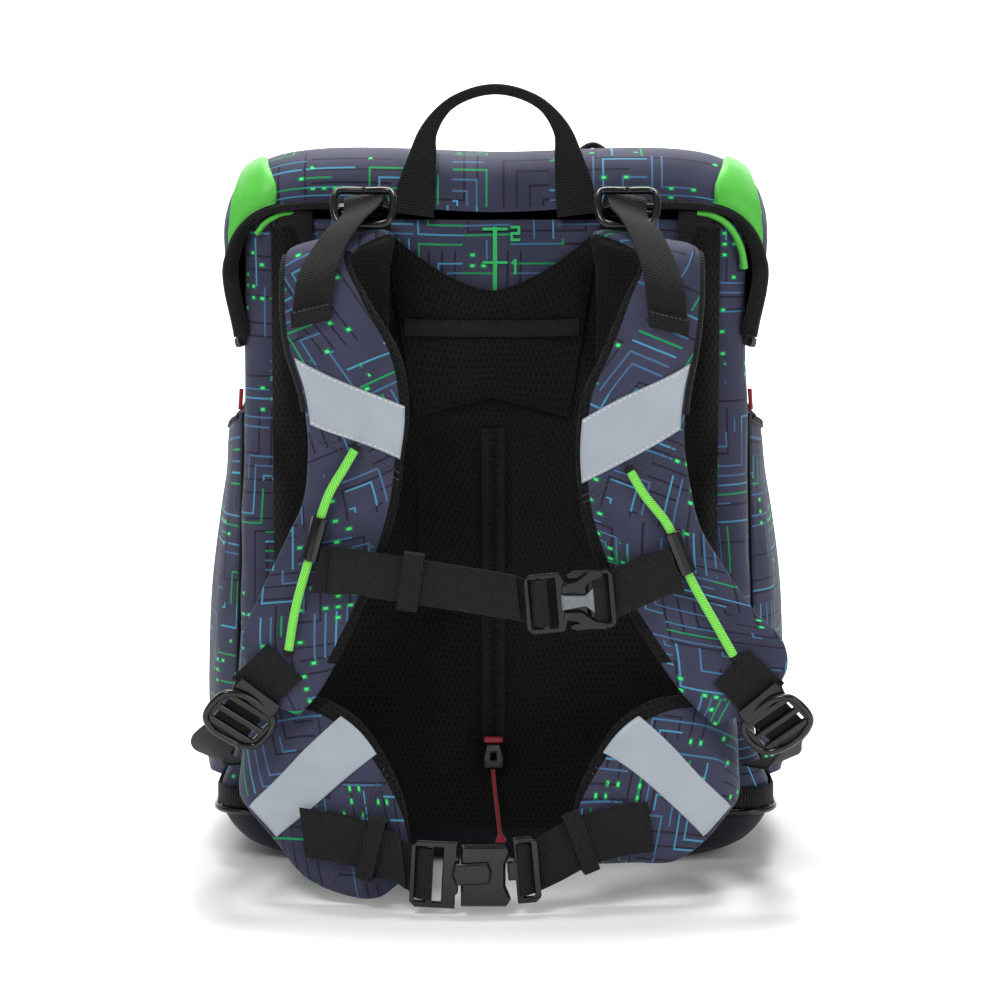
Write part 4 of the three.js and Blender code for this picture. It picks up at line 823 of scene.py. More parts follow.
for side, label in ((-1, "left"), (1, "right")):
    grid, high = [], []
    for v in spread(120):
        z = 364 - 250 * v
        waist = 1 - 0.8 * math.exp(-(((z - 240) / 16) ** 2))
        swell = 8.5 * waist * min(1, (1 - v) * 8 + 0.2, v * 5 + 0.25)
        grid.append([wearer(side * 115.5 + 9.18 * (1 - 2 * u), 0, z) for u in spread(24)])
        high.append([0.3 + 1.6 + swell * math.sin(math.pi * (0.06 + 0.88 * u)) for u in spread(24)])
    bolster = slab(f"side_bolster_{label}_mesh", np.array(grid), 0.3, np.array(high), [mesh])
    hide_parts(f"side_bolster_{label}")

yoke_grid, yoke_high = [], []
for v in spread(60):
    row, high = [], []
    for u in spread(60):
        half = 60 - 17 * v
        x = half * (1 - 2 * u) - 2
        top = yoke_top(x * (60 / half))
        row.append(wearer(x, 0, top + (yoke_bottom(x) - top) * v))
        high.append(5.6 + 6 * (1 - (2 * u - 1) ** 6) * (1 - (2 * v - 1) ** 8))
    yoke_grid.append(row)
    yoke_high.append(high)
yoke = slab("yoke_mesh", np.array(yoke_grid, float), 3.6, np.array(yoke_high), [mesh])
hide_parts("yoke")

strip_section = [
    (-1, 0), (-0.985, 0.75), (-0.95, 1), (-0.5, 1), (0, 1), (0.5, 1), (0.95, 1), (0.985, 0.75), (1, 0),
    (0.985, -0.75), (0.95, -1), (0.5, -1), (0, -1), (-0.5, -1), (-0.95, -1), (-0.985, -0.75),
]


def strip(name, stations, width, thickness=1.5, steps=60):
    """A flat webbing through stations: x, reach, z and turn in degrees, or a middle and a way across."""
    rows = []
    for station in stations:
        if len(station) == 4:
            x, reach, z, turn = station
            middle = np.array(wearer(x, reach, z))
            across = np.array((math.cos(math.radians(turn)), 0, math.sin(math.radians(turn))))
        else:
            middle, across = (np.array(v, float) for v in station)
        rows.append([middle - across * width / 2, middle + across * width / 2])
    grid = net(rows)([0, 1], spread(steps))
    line = grid.mean(axis=1)
    tangent = np.gradient(line, axis=0)
    rings = []
    for (low, high), middle, along in zip(grid, line, tangent):
        half = (high - low) / 2
        facing = np.cross(half, along)
        facing /= np.linalg.norm(facing)
        rings.append([middle + half * a + facing * b * thickness / 2 for a, b in strip_section])
    across = [a * width / 2 for a, b in strip_section] + [-width / 2]
    piece = loft(name, rings, across, lengths(line), [black_webbing])
    return piece


yoke_band_rows = [(-50, 8.8, 309), (-42, 12.8, 309), (-22, 12.8, 308.5), (0, 12.8, 308.5),
                  (20, 12.8, 308.5), (38, 12.8, 309), (46, 8.8, 309)]
yoke_band = strip("yoke_band_webbing", [(x, r, z, 90) for x, r, z in yoke_band_rows], 9)
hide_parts("yoke_band")

# The zip
# A coil zip with moulded teeth on black tape, which the yoke slides along. Its slider is die cast
# and lacquered black, with a red plastic bar, and the pull cord hangs from it.
zip_middle, zip_width, zip_top, zip_length = -1.2, 13, 252, 178
zip_us, zip_vs = spread(20), spread(80)
zip_xs = [zip_middle + zip_width * (0.5 - u) for u in zip_us]
zip_grid = np.array([[wearer(x, 0, zip_top - zip_length * v) for x in zip_xs] for v in zip_vs])
zip_high = np.array([[4.6 + 0.5 * max(0, 1 - abs(2 * u - 1) * 1.4) for u in zip_us] for v in zip_vs])
zip_tape = slab("zip_tape_webbing", zip_grid, 3.6, zip_high, [black_webbing])
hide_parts("zip")


def blocks(name, places, size, material):
    """Small chamfered blocks in one mesh. places: middle, across, along in mm; size: across, deep, high."""
    vertices, faces = [], []
    for place, across, along in places:
        place, across, along = (np.array(v, float) for v in (place, across, along))
        across /= np.linalg.norm(across)
        along /= np.linalg.norm(along)
        facing = np.cross(across, along)
        start = len(vertices)
        for level, shrink in ((-1, 0.8), (0.4, 1.0), (1, 0.7)):
            for a, b in ((-1, -1), (1, -1), (1, 1), (-1, 1)):
                vertices.append((place + across * a * size[0] / 2 * shrink + along * b * size[2] / 2 * shrink
                                 + facing * level * size[1] / 2) * 0.001)
        faces += [(start + 3, start + 2, start + 1, start), (start + 8, start + 9, start + 10, start + 11)]
        for layer in (0, 4):
            for k in range(4):
                m = (k + 1) % 4
                faces.append((start + layer + k, start + layer + m, start + layer + 4 + m,
                              start + layer + 4 + k))
    return shape(name, vertices, faces, [material], smooth=False)


def speckled(name, dark, light, scale, detail=2.0, **sockets):
    """A material between two tones in a fine grain. Returns it with its node tree, shader and grain."""
    material, tree, shader = surface(name, **sockets)
    grain = put(tree, "TexNoise", put(tree, "TexCoord", out=3), named={"Scale": scale, "Detail": detail})
    wire(shader, Base_Color=blend(tree, grain, dark, light))
    return material, tree, shader, grain


# Zip teeth: black acetal with a matt eroded skin, so that they show only faintly against the tape.
tooth_plastic = speckled("matt_black_zip_acetal", "#060607", "#141415", 800.0, Roughness=0.75,
                         Specular_IOR_Level=0.15)[0]
tooth_pitch, tooth_offset = 2.2, 0.9
teeth = []
for k in range(80):
    x = zip_middle + (tooth_offset if k % 2 else -tooth_offset)
    teeth.append((wearer(x, 5.4, zip_top - 1.5 - tooth_pitch * k), (1, 0, 0), (0, 0, 1)))
zip_teeth = blocks("zip_teeth", teeth, (3.6, 1.1, 1.7), tooth_plastic)

# The shoulder straps
# Foam straps rise out of the yoke, fold over at the wearer's shoulders and fall to the lower locks.
# Their outer face is printed cloth; the inner face and the inner edge are air mesh, sewn in an S curve.
# Rows of inner edge, its height, outer edge, its height and reach, from the yoke over the fold and down
strap_rise = [
    (59, 292, 95, 262, 8.3), (59, 318, 100, 296, 12.5), (58, 342, 104, 326, 23), (55, 360, 106, 348, 40),
    (60, 362, 110, 353, 58),
]
strap_rows = {
    "left": [
        *strap_rise, (77, 351, 112, 349, 74), (67.5, 330, 112.5, 329, 82), (51, 302, 110.5, 305, 85),
        (46.5, 284, 103, 280, 86), (46, 265, 100, 259, 87), (48.5, 246, 100, 243, 87),
        (51.5, 222, 102.5, 222, 86), (59, 194, 111.5, 202, 86), (72, 161, 125, 174, 85),
        (85, 135, 136, 147, 85), (95.5, 117, 133, 130, 85), (106, 105, 120, 114, 85),
    ],
    "right": [
        *[(a - 3, b, c - 2, d, r) for a, b, c, d, r in strap_rise], (77, 351, 109, 351, 74),
        (68, 329, 109, 329, 82), (56, 300, 106, 301, 85), (46.5, 280, 102, 279, 86),
        (43, 255, 100.5, 256, 87), (43.5, 233, 103.5, 233, 87), (47, 211, 109.5, 208, 86),
        (55.5, 186, 122, 187, 86), (71, 161, 140, 161, 85), (87, 136, 155, 145, 85),
        (104, 113, 156.5, 128, 85), (118, 100, 138, 110, 85),
    ],
}


def strap_net(side):
    """The middle surface of a strap: points for shares across it and along it."""
    rows = []
    for inner, inner_z, outer, outer_z, reach in strap_rows["left" if side < 0 else "right"]:
        row = [wearer(side * inner, reach, inner_z),
               wearer(side * (inner + outer) / 2, reach + 2, (inner_z + outer_z) / 2),
               wearer(side * outer, reach - 2, outer_z)]
        rows.append(row if side < 0 else row[::-1])
    return net(rows)


def stitches(name, line, pitch, material, thick=0.35):
    """Thread stitches along a line in mm: short round capsules with a gap between them."""
    far = lengths(line)
    count = max(2, int(far[-1] / pitch))
    vertices, faces = [], []
    for k in range(count):
        places = [far[-1] * (k + t) / count for t in (0.14, 0.86)]
        a, b = (np.array([np.interp(place, far, line[:, c]) for c in range(3)]) for place in places)
        along = (b - a) / max(np.linalg.norm(b - a), 1e-9)
        side = np.cross(along, (0, 1, 0))
        side /= max(np.linalg.norm(side), 1e-9)
        other = np.cross(along, side)
        start = len(vertices)
        for share, size in ((0.0, 0.5), (0.3, 1.0), (0.7, 1.0), (1.0, 0.5)):
            for s in range(5):
                angle = s * 2 * math.pi / 5
                out = thick * size * (math.cos(angle) * side + math.sin(angle) * other)
                vertices.append((a + (b - a) * share + out) * 0.001)
        for layer in range(3):
            for s in range(5):
                m = (s + 1) % 5
                faces.append((start + layer * 5 + s, start + layer * 5 + m, start + layer * 5 + 5 + m,
                              start + layer * 5 + 5 + s))
        faces += [tuple(start + s for s in range(4, -1, -1)), tuple(start + 15 + s for s in range(5))]
    return shape(name, vertices, faces, [material])


def patch_of(grid_at, us, starts, ends, rows):
    """A slanted patch on a surface, from the shares in starts to those in ends, one pair for each column."""
    columns = []
    for u, start, end in zip(us, starts, ends):
        columns.append(grid_at([u], spread(rows, start, end))[:, 0])
    return np.transpose(np.array(columns), (1, 0, 2))


# Reflective tape: glass beads in a grey binder, a flat even grey with a fine sparkle. White polyester
# thread sews it down.
tape, tree, shader = surface("reflective_bead_tape", Roughness=0.42, Metallic=0.0)
tape_place = put(tree, "UVMap", uv_map="mm")
tape_grain = put(tree, "TexNoise", tape_place, named={"Scale": 1.4, "Detail": 4.0})
tape_fade = put(tree, "TexNoise", tape_place, named={"Scale": 0.05, "Detail": 1.0})
tape_tone = calc(tree, "ADD", calc(tree, "MULTIPLY", tape_grain, 0.6),
                 calc(tree, "MULTIPLY", tape_fade, 0.5))
tape_colour = blend(tree, tape_tone, "#858d96", "#a9b1b9")
wire(shader, Base_Color=tape_colour, Normal=relief(tree, tape_grain, 0.1, 0.0002))
# Spun polyester sewing thread: dull, with a fuzz that takes a little sheen.
thread = speckled("white_polyester_thread", "#b9bcc2", "#f0f1f3", 2500.0, Roughness=0.6,
                  Sheen_Weight=0.3)[0]
dark_thread = speckled("black_polyester_thread", "#0c0c0d", "#242426", 2500.0, Roughness=0.5,
                       Sheen_Weight=0.3)[0]

strap_columns, strap_half, mesh_columns = 34, 4.0, 7
strap_us = (1 - np.cos(math.pi * spread(strap_columns))) / 2
strap_vs = spread(200)
for side, label in ((-1, "left"), (1, "right")):
    at = strap_net(side)
    grid = at(strap_us, strap_vs)
    half = strap_half * np.maximum(0, 1 - np.abs(2 * strap_us - 1) ** 5) ** 0.45
    fold = np.array([[0.8 * noise.noise(Vector((u * 2.6 + 7 * side, v * 11, 4.0))) for u in strap_us]
                     for v in strap_vs])
    fold *= (half / strap_half)[None, :]

    def strap_face(i, j, side=side):
        """The mesh shows on the inside, and along the lower part's inner edge."""
        on_inner_edge = j < mesh_columns if side < 0 else j >= strap_columns - mesh_columns
        return 1 if j >= strap_columns or on_inner_edge and 60 < i < 176 else 0

    strap = slab(f"shoulder_strap_{label}_cloth", grid, fold - half, fold + half, [printed, mesh],
                 slot_of=strap_face, turn=side * 22, shift=(90 * side, 33))
    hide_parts(f"shoulder_strap_{label}")

    us = spread(24, 0.045, 0.955)
    shares = us if side < 0 else 1 - us
    patch = patch_of(at, us, 0.54 - 0.091 * shares, 0.632 - 0.085 * shares, 24)
    pad_high = np.interp(us, strap_us, half)
    reflector = slab(f"strap_reflector_{label}_tape", patch, pad_high + 0.15, pad_high + 0.75, [tape])
    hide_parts(f"strap_reflector_{label}")
    for end, row in (("upper", 1), ("lower", 23)):
        line = patch[row] + normals(patch)[row] * (pad_high + 0.85)[:, None]
        seam = stitches(f"reflector_stitches_{end}_{label}", line, 3.1, thread, 0.3)
    seam_us = spread(30, 0.03, 0.97)
    seam_shares = spread(30) if side < 0 else 1 - spread(30)
    cross_patch = patch_of(at, seam_us, 0.648 - 0.08 * seam_shares, 0.658 - 0.08 * seam_shares, 3)
    seam_high = np.interp(seam_us, strap_us, half)
    for row in (0, 3):
        line = cross_patch[row] + normals(cross_patch)[row] * (seam_high + 0.1)[:, None]
        seam = stitches(f"strap_seam_{row}_{label}", line, 2.6, dark_thread, 0.35)

    outer_edge = at([1.0 if side < 0 else 0.0], spread(60, 0.3, 0.53))[:, 0]
    edge_binding = tube(f"strap_edge_binding_{label}", outer_edge, 2.3, [black_webbing], 12, 90)

# The corner tabs and the size ruler
# A short webbing tab is sewn over each upper corner of the back. A green ruler is screen printed
# between them, to read the back length off: a bar, ticks and plain numbers in a raised ink.
for side, label in ((-1, "left"), (1, "right")):
    x = side * 111
    strip(f"corner_tab_{label}_webbing", [(x, 2.2, 348, 0), (x, 3.0, 360, 0), (x, 2.6, 373, 0)], 19, 1.6,
          steps=16)
    corner = [wearer(x + dx, 3.4, z) for dx, z in ((-8, 351), (8, 351), (8, 366), (-8, 366), (-8, 351))]
    tab_seam = stitches(f"corner_tab_stitches_{label}", np.array(corner), 2.4, dark_thread)
# Screen print ink: a raised plastisol film with a satin skin.
ink = speckled("green_screen_print_ink", "#14924c", "#22c468", 900.0, detail=3.0, Roughness=0.5)[0]
two = [(0, 7), (4, 7), (4, 3.6), (0, 3.6), (0, 0), (4, 0)]
one = [(0.6, 5.8), (2, 7), (2, 0)]
ink_strokes = [[(-0.3, 329), (-0.3, 363.5)], [(-6.5, 363), (6, 363)], [(-6.5, 344.4), (6, 344.4)],
               [(9 + x, 357 + z) for x, z in two], [(9 + x, 338.5 + z) for x, z in one]]
skin = outer_rings.reshape(-1, 3)
skin = skin[skin[:, 1] < -80]
ink_points, ink_faces = [], []
for stroke in ink_strokes:
    for (x1, z1), (x2, z2) in zip(stroke, stroke[1:]):
        run = np.array((x2 - x1, z2 - z1)) / math.hypot(x2 - x1, z2 - z1)
        beside = np.array((-run[1], run[0])) * (1.15 if z2 - z1 > 20 else 0.75)
        for end, (x, z) in ((-1, (x1, z1)), (1, (x2, z2))):
            for way in (-1, 1):
                px, pz = np.array((x, z)) + run * end * 0.75 + beside * way
                far = np.hypot(skin[:, 0] - px, skin[:, 2] - pz)
                near = np.argsort(far)[:4]
                y = np.average(skin[near, 1], weights=1 / (far[near] + 0.5))
                ink_points.append((px * 0.001, (y - 0.9) * 0.001, pz * 0.001))
                ink_points.append((px * 0.001, (y + 0.4) * 0.001, pz * 0.001))
        k = len(ink_points) - 8
        ink_faces += [(k, k + 2, k + 6, k + 4), (k + 1, k + 5, k + 7, k + 3), (k, k + 4, k + 5, k + 1),
                      (k + 2, k + 3, k + 7, k + 6), (k, k + 1, k + 3, k + 2), (k + 4, k + 6, k + 7, k + 5)]
ruler = shape("size_ruler_print", ink_points, ink_faces, [ink], smooth=False)

# The cord rails
# A green climbing style cord is sewn down at both ends on each strap; a black tube slides on it and
# carries the chest strap.
# The darker green is painted shade in the braid's grooves.
green_braid = braided("braided_green_polyester", "#86ec52", "#57b531", 1.7)
# Shares across and along the strap, and whether the cord stands off it there
rail_rows = {
    "left": [(0.5, 0.6, 0), (0.58, 0.632, 1), (0.7, 0.67, 1), (0.72, 0.715, 1), (0.68, 0.76, 1),
             (0.6, 0.82, 1), (0.5, 0.875, 0)],
    "right": [(0.53, 0.605, 0), (0.44, 0.64, 1), (0.31, 0.68, 1), (0.3, 0.72, 1), (0.34, 0.765, 1),
              (0.39, 0.825, 1), (0.43, 0.885, 0)],
}
for side, label in ((-1, "left"), (1, "right")):
    at = strap_net(side)
    path = []
    for u, v, lift in rail_rows[label]:
        near = at(np.clip([u - 0.02, u, u + 0.02], 0, 1), [v - 0.01, v, v + 0.01])
        path.append(near[1, 1] + normals(near)[1, 1] * (4 + 2.4 + 0.6 + lift * 2.7))
    rail = tube(f"cord_rail_{label}_braid", path, 2.4, [green_braid], 14, 90)
    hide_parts(f"cord_rail_{label}")
    for end, point, next_point in (("upper", path[0], path[1]), ("lower", path[-1], path[-2])):
        along = (next_point - point) / np.linalg.norm(next_point - point)
        tack = tube(f"rail_tack_{end}_{label}", [point - along * 1.5, point, point + along * 1.5], 2.75,
                    [black_webbing], 12, 6)

# The load lifters
# A webbing runs from the hinge seam through a ladder lock on each strap's fold, and its tail hangs
# loose down the strap with its end folded back and sewn.
side_webbing_width = 22
lifter_tails = {
    "left": [(-72, 376), (-80, 368), (-89, 355), (-94, 343), (-96, 330), (-97, 317)],
    "right": [(71.5, 375), (78, 367), (85, 352), (89, 338), (90.5, 326), (91.5, 313)],
}
for side, label in ((-1, "left"), (1, "right")):
    reaches = (53, 69.5, 81, 88, 91, 92.5) if side < 0 else (53, 70, 83.5, 90, 92, 93)
    stations = [(side * 69, 1.4, 361, 0), (side * 69, 3, 366, 0), (side * 69, 14, 372, 0),
                (side * 70, 28, 380, side * -6), (side * 71, 42, 382.5, side * -10)]
    for k, ((x, z), reach) in enumerate(zip(lifter_tails[label], reaches)):
        stations.append((x, reach, z, side * (-18 if k < 3 else -14)))
    lifter = strip(f"load_lifter_{label}_webbing", stations, side_webbing_width, steps=90)
    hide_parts(f"load_lifter_{label}")
    x, z = lifter_tails[label][-1]
    reach = reaches[-1]
    turn = math.radians(side * -14)
    strip(f"lifter_hem_{label}_webbing", [(x + 0.4 * side, reach + 1.6, z + 9, side * -14),
                                         (x, reach + 1.7, z + 0.4, side * -14)],
          side_webbing_width, 1.2, steps=8)
    ends = np.array([wearer(x + s * 10 * math.cos(turn), reach + 2.5, z + 8 + s * 10 * math.sin(turn))
                     for s in (-1, 1)])
    hem_seam = stitches(f"lifter_stitches_{label}", ends, 2.4, dark_thread)

# The chest strap
# Two webbings from the rail tubes meet in a side release buckle; the left one is doubled and its
# spare end goes through a keeper.
chest_width = 25
chest_rows = [(-92, 98, 186), (-80, 99, 186), (-60, 100, 183), (-30, 100.5, 178.5), (0, 100.3, 173.5),
              (10, 100, 172)]
chest_stations = [(x, r, z, 98 if k else 79) for k, (x, r, z) in enumerate(chest_rows)]
chest_stations = [(-95.5, 98, 186, 76), *chest_stations, (17.9, 99.9, 169.33, 95), (25.2, 106.6, 169.4, 95),
                  (28, 106.6, 169.6, 95)]
chest_left = strip("chest_webbing_left_webbing", chest_stations, chest_width, steps=120)
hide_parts("chest_webbing_left")
tail_rows = [(x + 4, r + 2.4, z, 98 if k else 84) for k, (x, r, z) in enumerate(chest_rows[:5])]
chest_tail = strip("chest_tail_webbing", [*tail_rows, (12, 103, 172, 97)], chest_width, steps=90)
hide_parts("chest_tail")
chest_right = strip("chest_webbing_right_webbing", [
    (52, 106.6, 171.6, 95), (53.8, 106.6, 171.7, 95), (61.2, 99.9, 172.4, 95), (67, 99.7, 175.5, 106),
    (78, 99, 180.5, 112), (88, 98.5, 184.5, 112), (96.8, 97.5, 186, 110)], chest_width, steps=90)
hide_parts("chest_webbing_right")

# The lower strap ends
# A square patch sews each strap's tip to a short webbing loop with a ladder lock, and a webbing
# runs from the lock down to the body's corner.
lock_outline = [(-13, -9), (-13, 9), (-8, 16.5), (8, 16.5), (13, 9), (13, -9), (8, -16.5), (-8, -16.5),
                (-13, -9)]
lock_reach = 93
# For each side the lock's x, height and turn, and the x and height of the webbing's foot
lower_ends = {"left": ((-137.2, 105, 53), (-151, 62)), "right": ((151, 102.5, -50), (153, 60))}


def turned(point, side, turn):
    """A point in a lower lock's own frame, turned, leaned and swung into place, in mm."""
    x, y, z = point
    a = math.radians(-turn)
    x, z = x * math.cos(a) + z * math.sin(a), -x * math.sin(a) + z * math.cos(a)
    a = math.radians(20)
    y, z = y * math.cos(a) - z * math.sin(a), y * math.sin(a) + z * math.cos(a)
    a = math.radians(side * -6)
    return np.array((x * math.cos(a) - y * math.sin(a), x * math.sin(a) + y * math.cos(a), z))


for side, label in ((-1, "left"), (1, "right")):
    (lock_x, lock_z, lock_turn), (foot_x, foot_z) = lower_ends[label]
    lock_place = np.array(wearer(lock_x, lock_reach, lock_z))
    stations = []
    for along, rise in ((9, -2.8), (0, -2.8), (-9, -2.8), (-15, -5)):
        middle = turned((-side * along, -rise, 0), side, lock_turn) + lock_place
        stations.append((middle, turned((0, 0, 1), side, lock_turn)))
    for reach, rise, turn in ((66, 21, 38), (34, 9, 24)):
        rad = math.radians(turn)
        stations.append((wearer(foot_x + side * 6, reach, foot_z + rise),
                         (side * math.cos(rad), 0, math.sin(rad))))
    stations.append((wearer(side * (wall_at(foot_z) - 3.4), -4.2, foot_z),
                     (side * math.sqrt(0.5), math.sqrt(0.5), 0)))
    lower = strip(f"lower_webbing_{label}_webbing", stations, side_webbing_width, steps=90)
    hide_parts(f"lower_webbing_{label}")
    rim = [turned((x, -1.4, z), side, lock_turn) + lock_place for x, z in lock_outline]
    lock_rim = tube(f"lower_lock_rim_{label}", rim, 1.9, [plastic], 10, 90)

# The hip fins
# Padded wings of the same print leave the back low down and wrap round the wearer's hips. A grey
# tape crosses each, and their inner edge shows the mesh.
# Rows of the upper edge, its height, the lower edge, its height and reach, from the back to the tip
fin_rows = [
    (108, 102, 108, 57, 5.1), (119, 104, 120, 55, 10), (129, 106, 131, 54, 25), (134, 108, 137, 53, 44),
    (128, 110, 137.5, 52, 60), (112, 113, 133, 48, 70), (93.5, 113, 120, 34, 77), (73, 102, 103, 15, 83),
    (58, 80, 80, 5.5, 86), (49, 58, 64, 5, 88), (46, 36, 52, 13, 88),
]
fin_columns, fin_half = 30, 4.5
fin_us = (1 - np.cos(math.pi * spread(fin_columns))) / 2
fin_vs = spread(110)
for side, label in ((-1, "left"), (1, "right")):
    rows = []
    for k, (top, top_z, low, low_z, reach) in enumerate(fin_rows):
        shift = 0 if side < 0 else -2 * min(k, 3)
        foot = low_z if side < 0 else max(low_z, 24)
        row = [wearer(side * (top + shift), reach, top_z), wearer(side * (low + shift), reach, foot)]
        rows.append(row if side < 0 else row[::-1])
    at = net(rows)
    grid = at(fin_us, fin_vs)
    half = fin_half * np.maximum(0, 1 - np.abs(2 * fin_us - 1) ** 5) ** 0.45
    tip = np.sqrt(np.clip((1 - fin_vs) * 14, 0.12, 1))
    half_grid = tip[:, None] * half[None, :]
    fold = np.array([[0.9 * noise.noise(Vector((u * 2.4 + 5 * side, v * 6, 1.0))) for u in fin_us]
                     for v in fin_vs])
    fold *= (half / fin_half)[None, :]

    def fin_face(i, j, side=side):
        """The mesh shows on the inside and along the inner edge."""
        on_inner_edge = j < 6 if side < 0 else j >= fin_columns - 6
        return 1 if j >= fin_columns or on_inner_edge and i > 12 else 0

    fin = slab(f"hip_fin_{label}_cloth", grid, fold - half_grid, fold + half_grid, [printed, mesh],
               slot_of=fin_face, turn=side * 34, shift=(30 * side, 140))
    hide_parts(f"hip_fin_{label}")
    us = spread(20, 0.045, 0.955)
    starts = 0.665 - 0.175 * (us if side < 0 else 1 - us)
    patch = patch_of(at, us, starts, starts + 0.108, 20)
    pad_high = np.interp(us, fin_us, half)
    reflector = slab(f"fin_reflector_{label}_tape", patch, pad_high + 0.15, pad_high + 0.8, [tape])
    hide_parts(f"fin_reflector_{label}")
    for k, share in enumerate((0.80, 0.815)):
        starts = share - 0.06 * (us if side < 0 else 1 - us)
        cross_patch = patch_of(at, us, starts, starts + 0.01, 1)
        line = cross_patch[0] + normals(cross_patch)[0] * (pad_high + 0.4)[:, None]
        seam = stitches(f"fin_seam_{k}_{label}", line, 2.6, dark_thread, 0.35)

# The hip belt
# Webbings from both fins meet in a three part buckle. The left one is doubled, and its tail lies
# along it under a keeper.
belt_width = 28
belt_rows = [(-104, 42, 88.5), (-90, 40, 90.6), (-78, 38, 93), (-66, 35, 96.4), (-56, 31.5, 99),
             (-49.5, 27.5, 101)]
belt_stations = [(x, r, z, 97) for x, z, r in belt_rows[1:]]
belt_stations += [(-43.6, 102.7, 23.6, 87), (-36.2, 109.4, 23.2, 87), (-33.6, 109.4, 23.1, 87)]
belt_left = strip("belt_webbing_left_webbing", belt_stations, belt_width, steps=90)
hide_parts("belt_webbing_left")
belt_tail = strip("belt_tail_webbing", [(x, r + 2.6, z, 97) for x, z, r in belt_rows], belt_width,
                  steps=60)
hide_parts("belt_tail")
belt_right = strip("belt_webbing_right_webbing", [
    (11.8, 109.4, 25, 95), (13.3, 109.4, 25.1, 95), (20.7, 102.7, 25.7, 95), (31, 101, 31, 108),
    (46, 98.2, 38.4, 110), (60, 95.2, 42, 106), (72, 92.8, 44, 100), (84, 90.6, 45, 98)], belt_width,
    steps=90)
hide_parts("belt_webbing_right")

# Raised mouldings
# The buckles and locks carry raised arms, bars and a wedge with chamfered rims, moulded with the frame.
# The chest buckle's tongue is painted a lighter grey: a painted reflection of the lamps on its polished
# face.


def moulding(name, outline, depth, place, chamfer=1.0, material=plastic):
    """A raised plate with a chamfered front rim. outline in mm; place: x, reach, z in mm and its turn."""
    outline = np.array(outline, float)
    centre = outline.mean(axis=0)
    size = np.abs(outline - centre).max()
    x, reach, z, turn = place
    cos, sin = math.cos(math.radians(turn)), math.sin(math.radians(turn))
    points = []
    for scale, away in ((1, 0), (1, depth - chamfer), (1 - chamfer / size, depth)):
        for px, pz in centre + (outline - centre) * scale:
            point = wearer(x + px * cos - pz * sin, reach + away, z + px * sin + pz * cos)
            points.append(np.array(point) * 0.001)
    n = len(outline)
    faces = [tuple(range(n))[::-1], tuple(range(2 * n, 3 * n))]
    for layer in range(2):
        for k in range(n):
            m = (k + 1) % n
            faces.append((layer * n + k, layer * n + m, (layer + 1) * n + m, (layer + 1) * n + k))
    piece = shape(name, points, faces, [material], smooth=False)
    edge = piece.modifiers.new("edge", "BEVEL")
    edge.width = 0.0004
    edge.segments = 2
    return piece


# Polished acetal: the tongue of the chest buckle, which mirrors the soft lamps. Its lighter grey colour is a
# painted reflection of them.
tongue_painted_reflection, tree, shader, tongue_grain = speckled(
    "grey_acetal_painted_reflection", "#55595e", "#7d8186", 500.0, IOR=1.48)
wire(shader, Roughness=put(tree, "MapRange", tongue_grain, 0.3, 0.7, 0.1, 0.22))
arm = [(-4, 4.6), (5, 5.2), (12, 10.6), (18, 12.6), (18, 16), (10, 15.2), (2, 10.2), (-4, 9.2)]
chest_place = (40, 105.4, 170.5, 5)
moulding("chest_buckle_arm_upper", arm[::-1], 3.4, chest_place)
moulding("chest_buckle_arm_lower", [(x, -z) for x, z in arm], 3.4, chest_place)
tongue = [(-5, -4.4), (8, -3), (13, -7.5), (13, 7.5), (8, 3), (-5, 4.4)]
moulding("chest_buckle_tongue", tongue, 2.6, chest_place, 1.6, tongue_painted_reflection)
belt_place = (-12.5, 109.5, 24, 3)
moulding("belt_buckle_wedge", [(-9, -6), (9, -6), (11, 0), (9, 6), (-9, 6), (-11, 0)], 2.8, belt_place, 1.6)
plate_outline = [(-13, -4.6), (13, -4.6), (14, 0), (13, 4.6), (-13, 4.6), (-14, 0)]
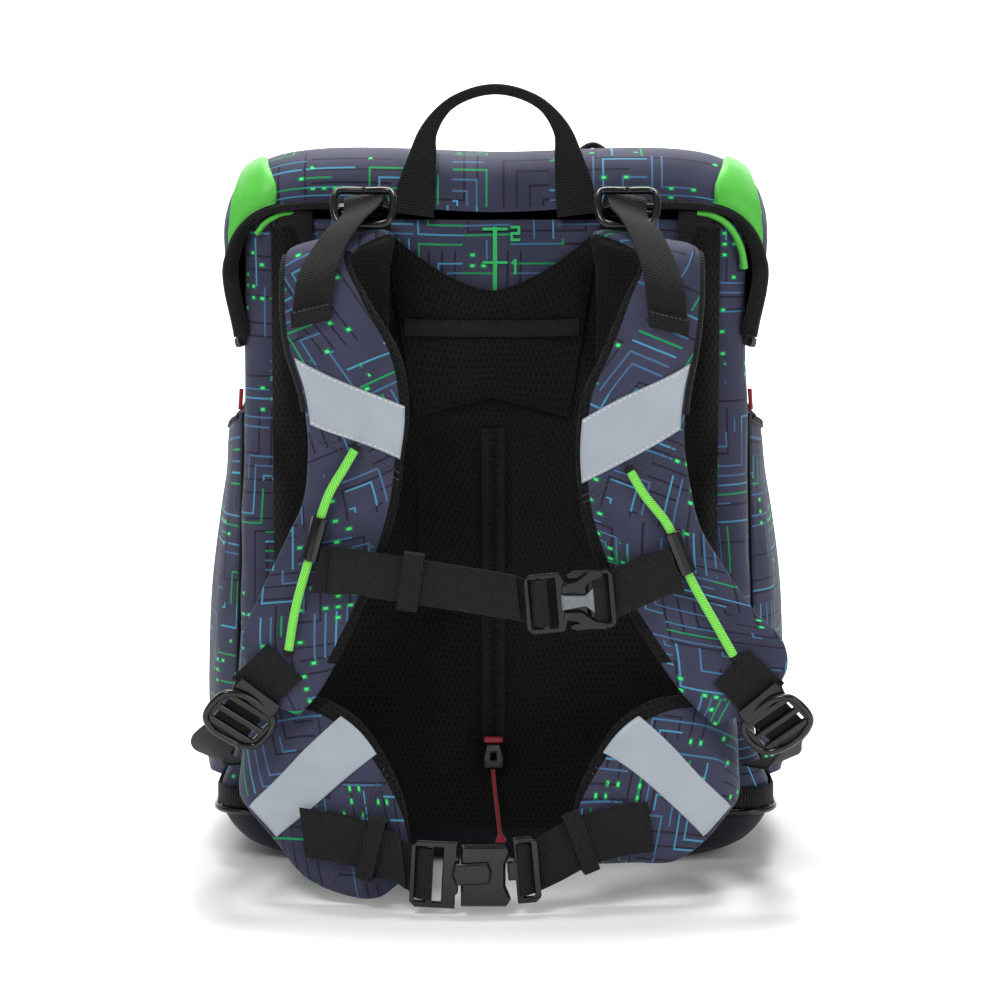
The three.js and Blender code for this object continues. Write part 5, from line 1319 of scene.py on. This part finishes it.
moulding("lower_lock_plate_left", plate_outline, 3.4, (-128, 93.8, 117, -37))
moulding("lower_lock_plate_right", plate_outline, 3.4, (142.5, 93.8, 114, 40))
for side, label in ((-1, "left"), (1, "right")):
    corners = [(0, 46, 385.5), (14, 46, 385), (16, 50, 381), (15, 56, 372), (12, 58, 368.5), (0, 59, 367.5)]
    ring_path = [(side * 71 + x, r, z) for x, r, z in corners]
    ring_path += [(side * 71 - x, r, z) for x, r, z in corners[-2:0:-1]]
    ring_path.append(ring_path[0])
    bar = tube(f"lifter_lock_frame_{label}", [wearer(*p) for p in ring_path], 2.1, [plastic], 10, 90)

# The moulded and sewn pieces that keep their CAD form
# Locks, buckles, tubes and sliders are moulded acetal with a soft radius on every edge; keepers and
# patches are webbing, drawn with the same rib by their place, since they carry no print.
# Its darker colour is painted shade in the rib troughs, as on the other webbing.
webbing_cut = ribbed("black_polyamide_webbing_cut", "#1b1b1c", "#030304", 1.5, 0.9, unwrapped=False)
# Red acetal, as moulded: a satin skin.
red_plastic = speckled("moulded_red_acetal", "#7c0c18", "#9c1424", 600.0, Roughness=0.35, IOR=1.48)[0]
kept = {
    "front_clasp": plastic, "zip_slider": plastic, "zip_bar": red_plastic, "chest_keeper": webbing_cut,
    "chest_buckle_left": plastic, "chest_buckle_right": plastic, "belt_frame_left": plastic,
    "belt_centre": plastic, "belt_frame_right": plastic,
}
for label in ("left", "right"):
    kept[f"pocket_pull_{label}"] = red_plastic
    kept[f"rail_slider_{label}"] = plastic
    kept[f"lifter_lock_{label}"] = plastic
    kept[f"lower_lock_{label}"] = plastic
    kept[f"strap_patch_{label}"] = webbing_cut
    kept[f"belt_keeper_{label}"] = webbing_cut
for name, material in kept.items():
    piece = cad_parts[name]
    piece.data.materials.clear()
    piece.data.materials.append(material)
    weld = piece.modifiers.new("weld", "WELD")
    weld.merge_threshold = 0.00001
    edge = piece.modifiers.new("edge", "BEVEL")
    edge.width = 0.0006 if material is plastic else 0.0003
    edge.segments = 3
    edge.limit_method = "ANGLE"
    edge.angle_limit = math.radians(28)

low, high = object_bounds()
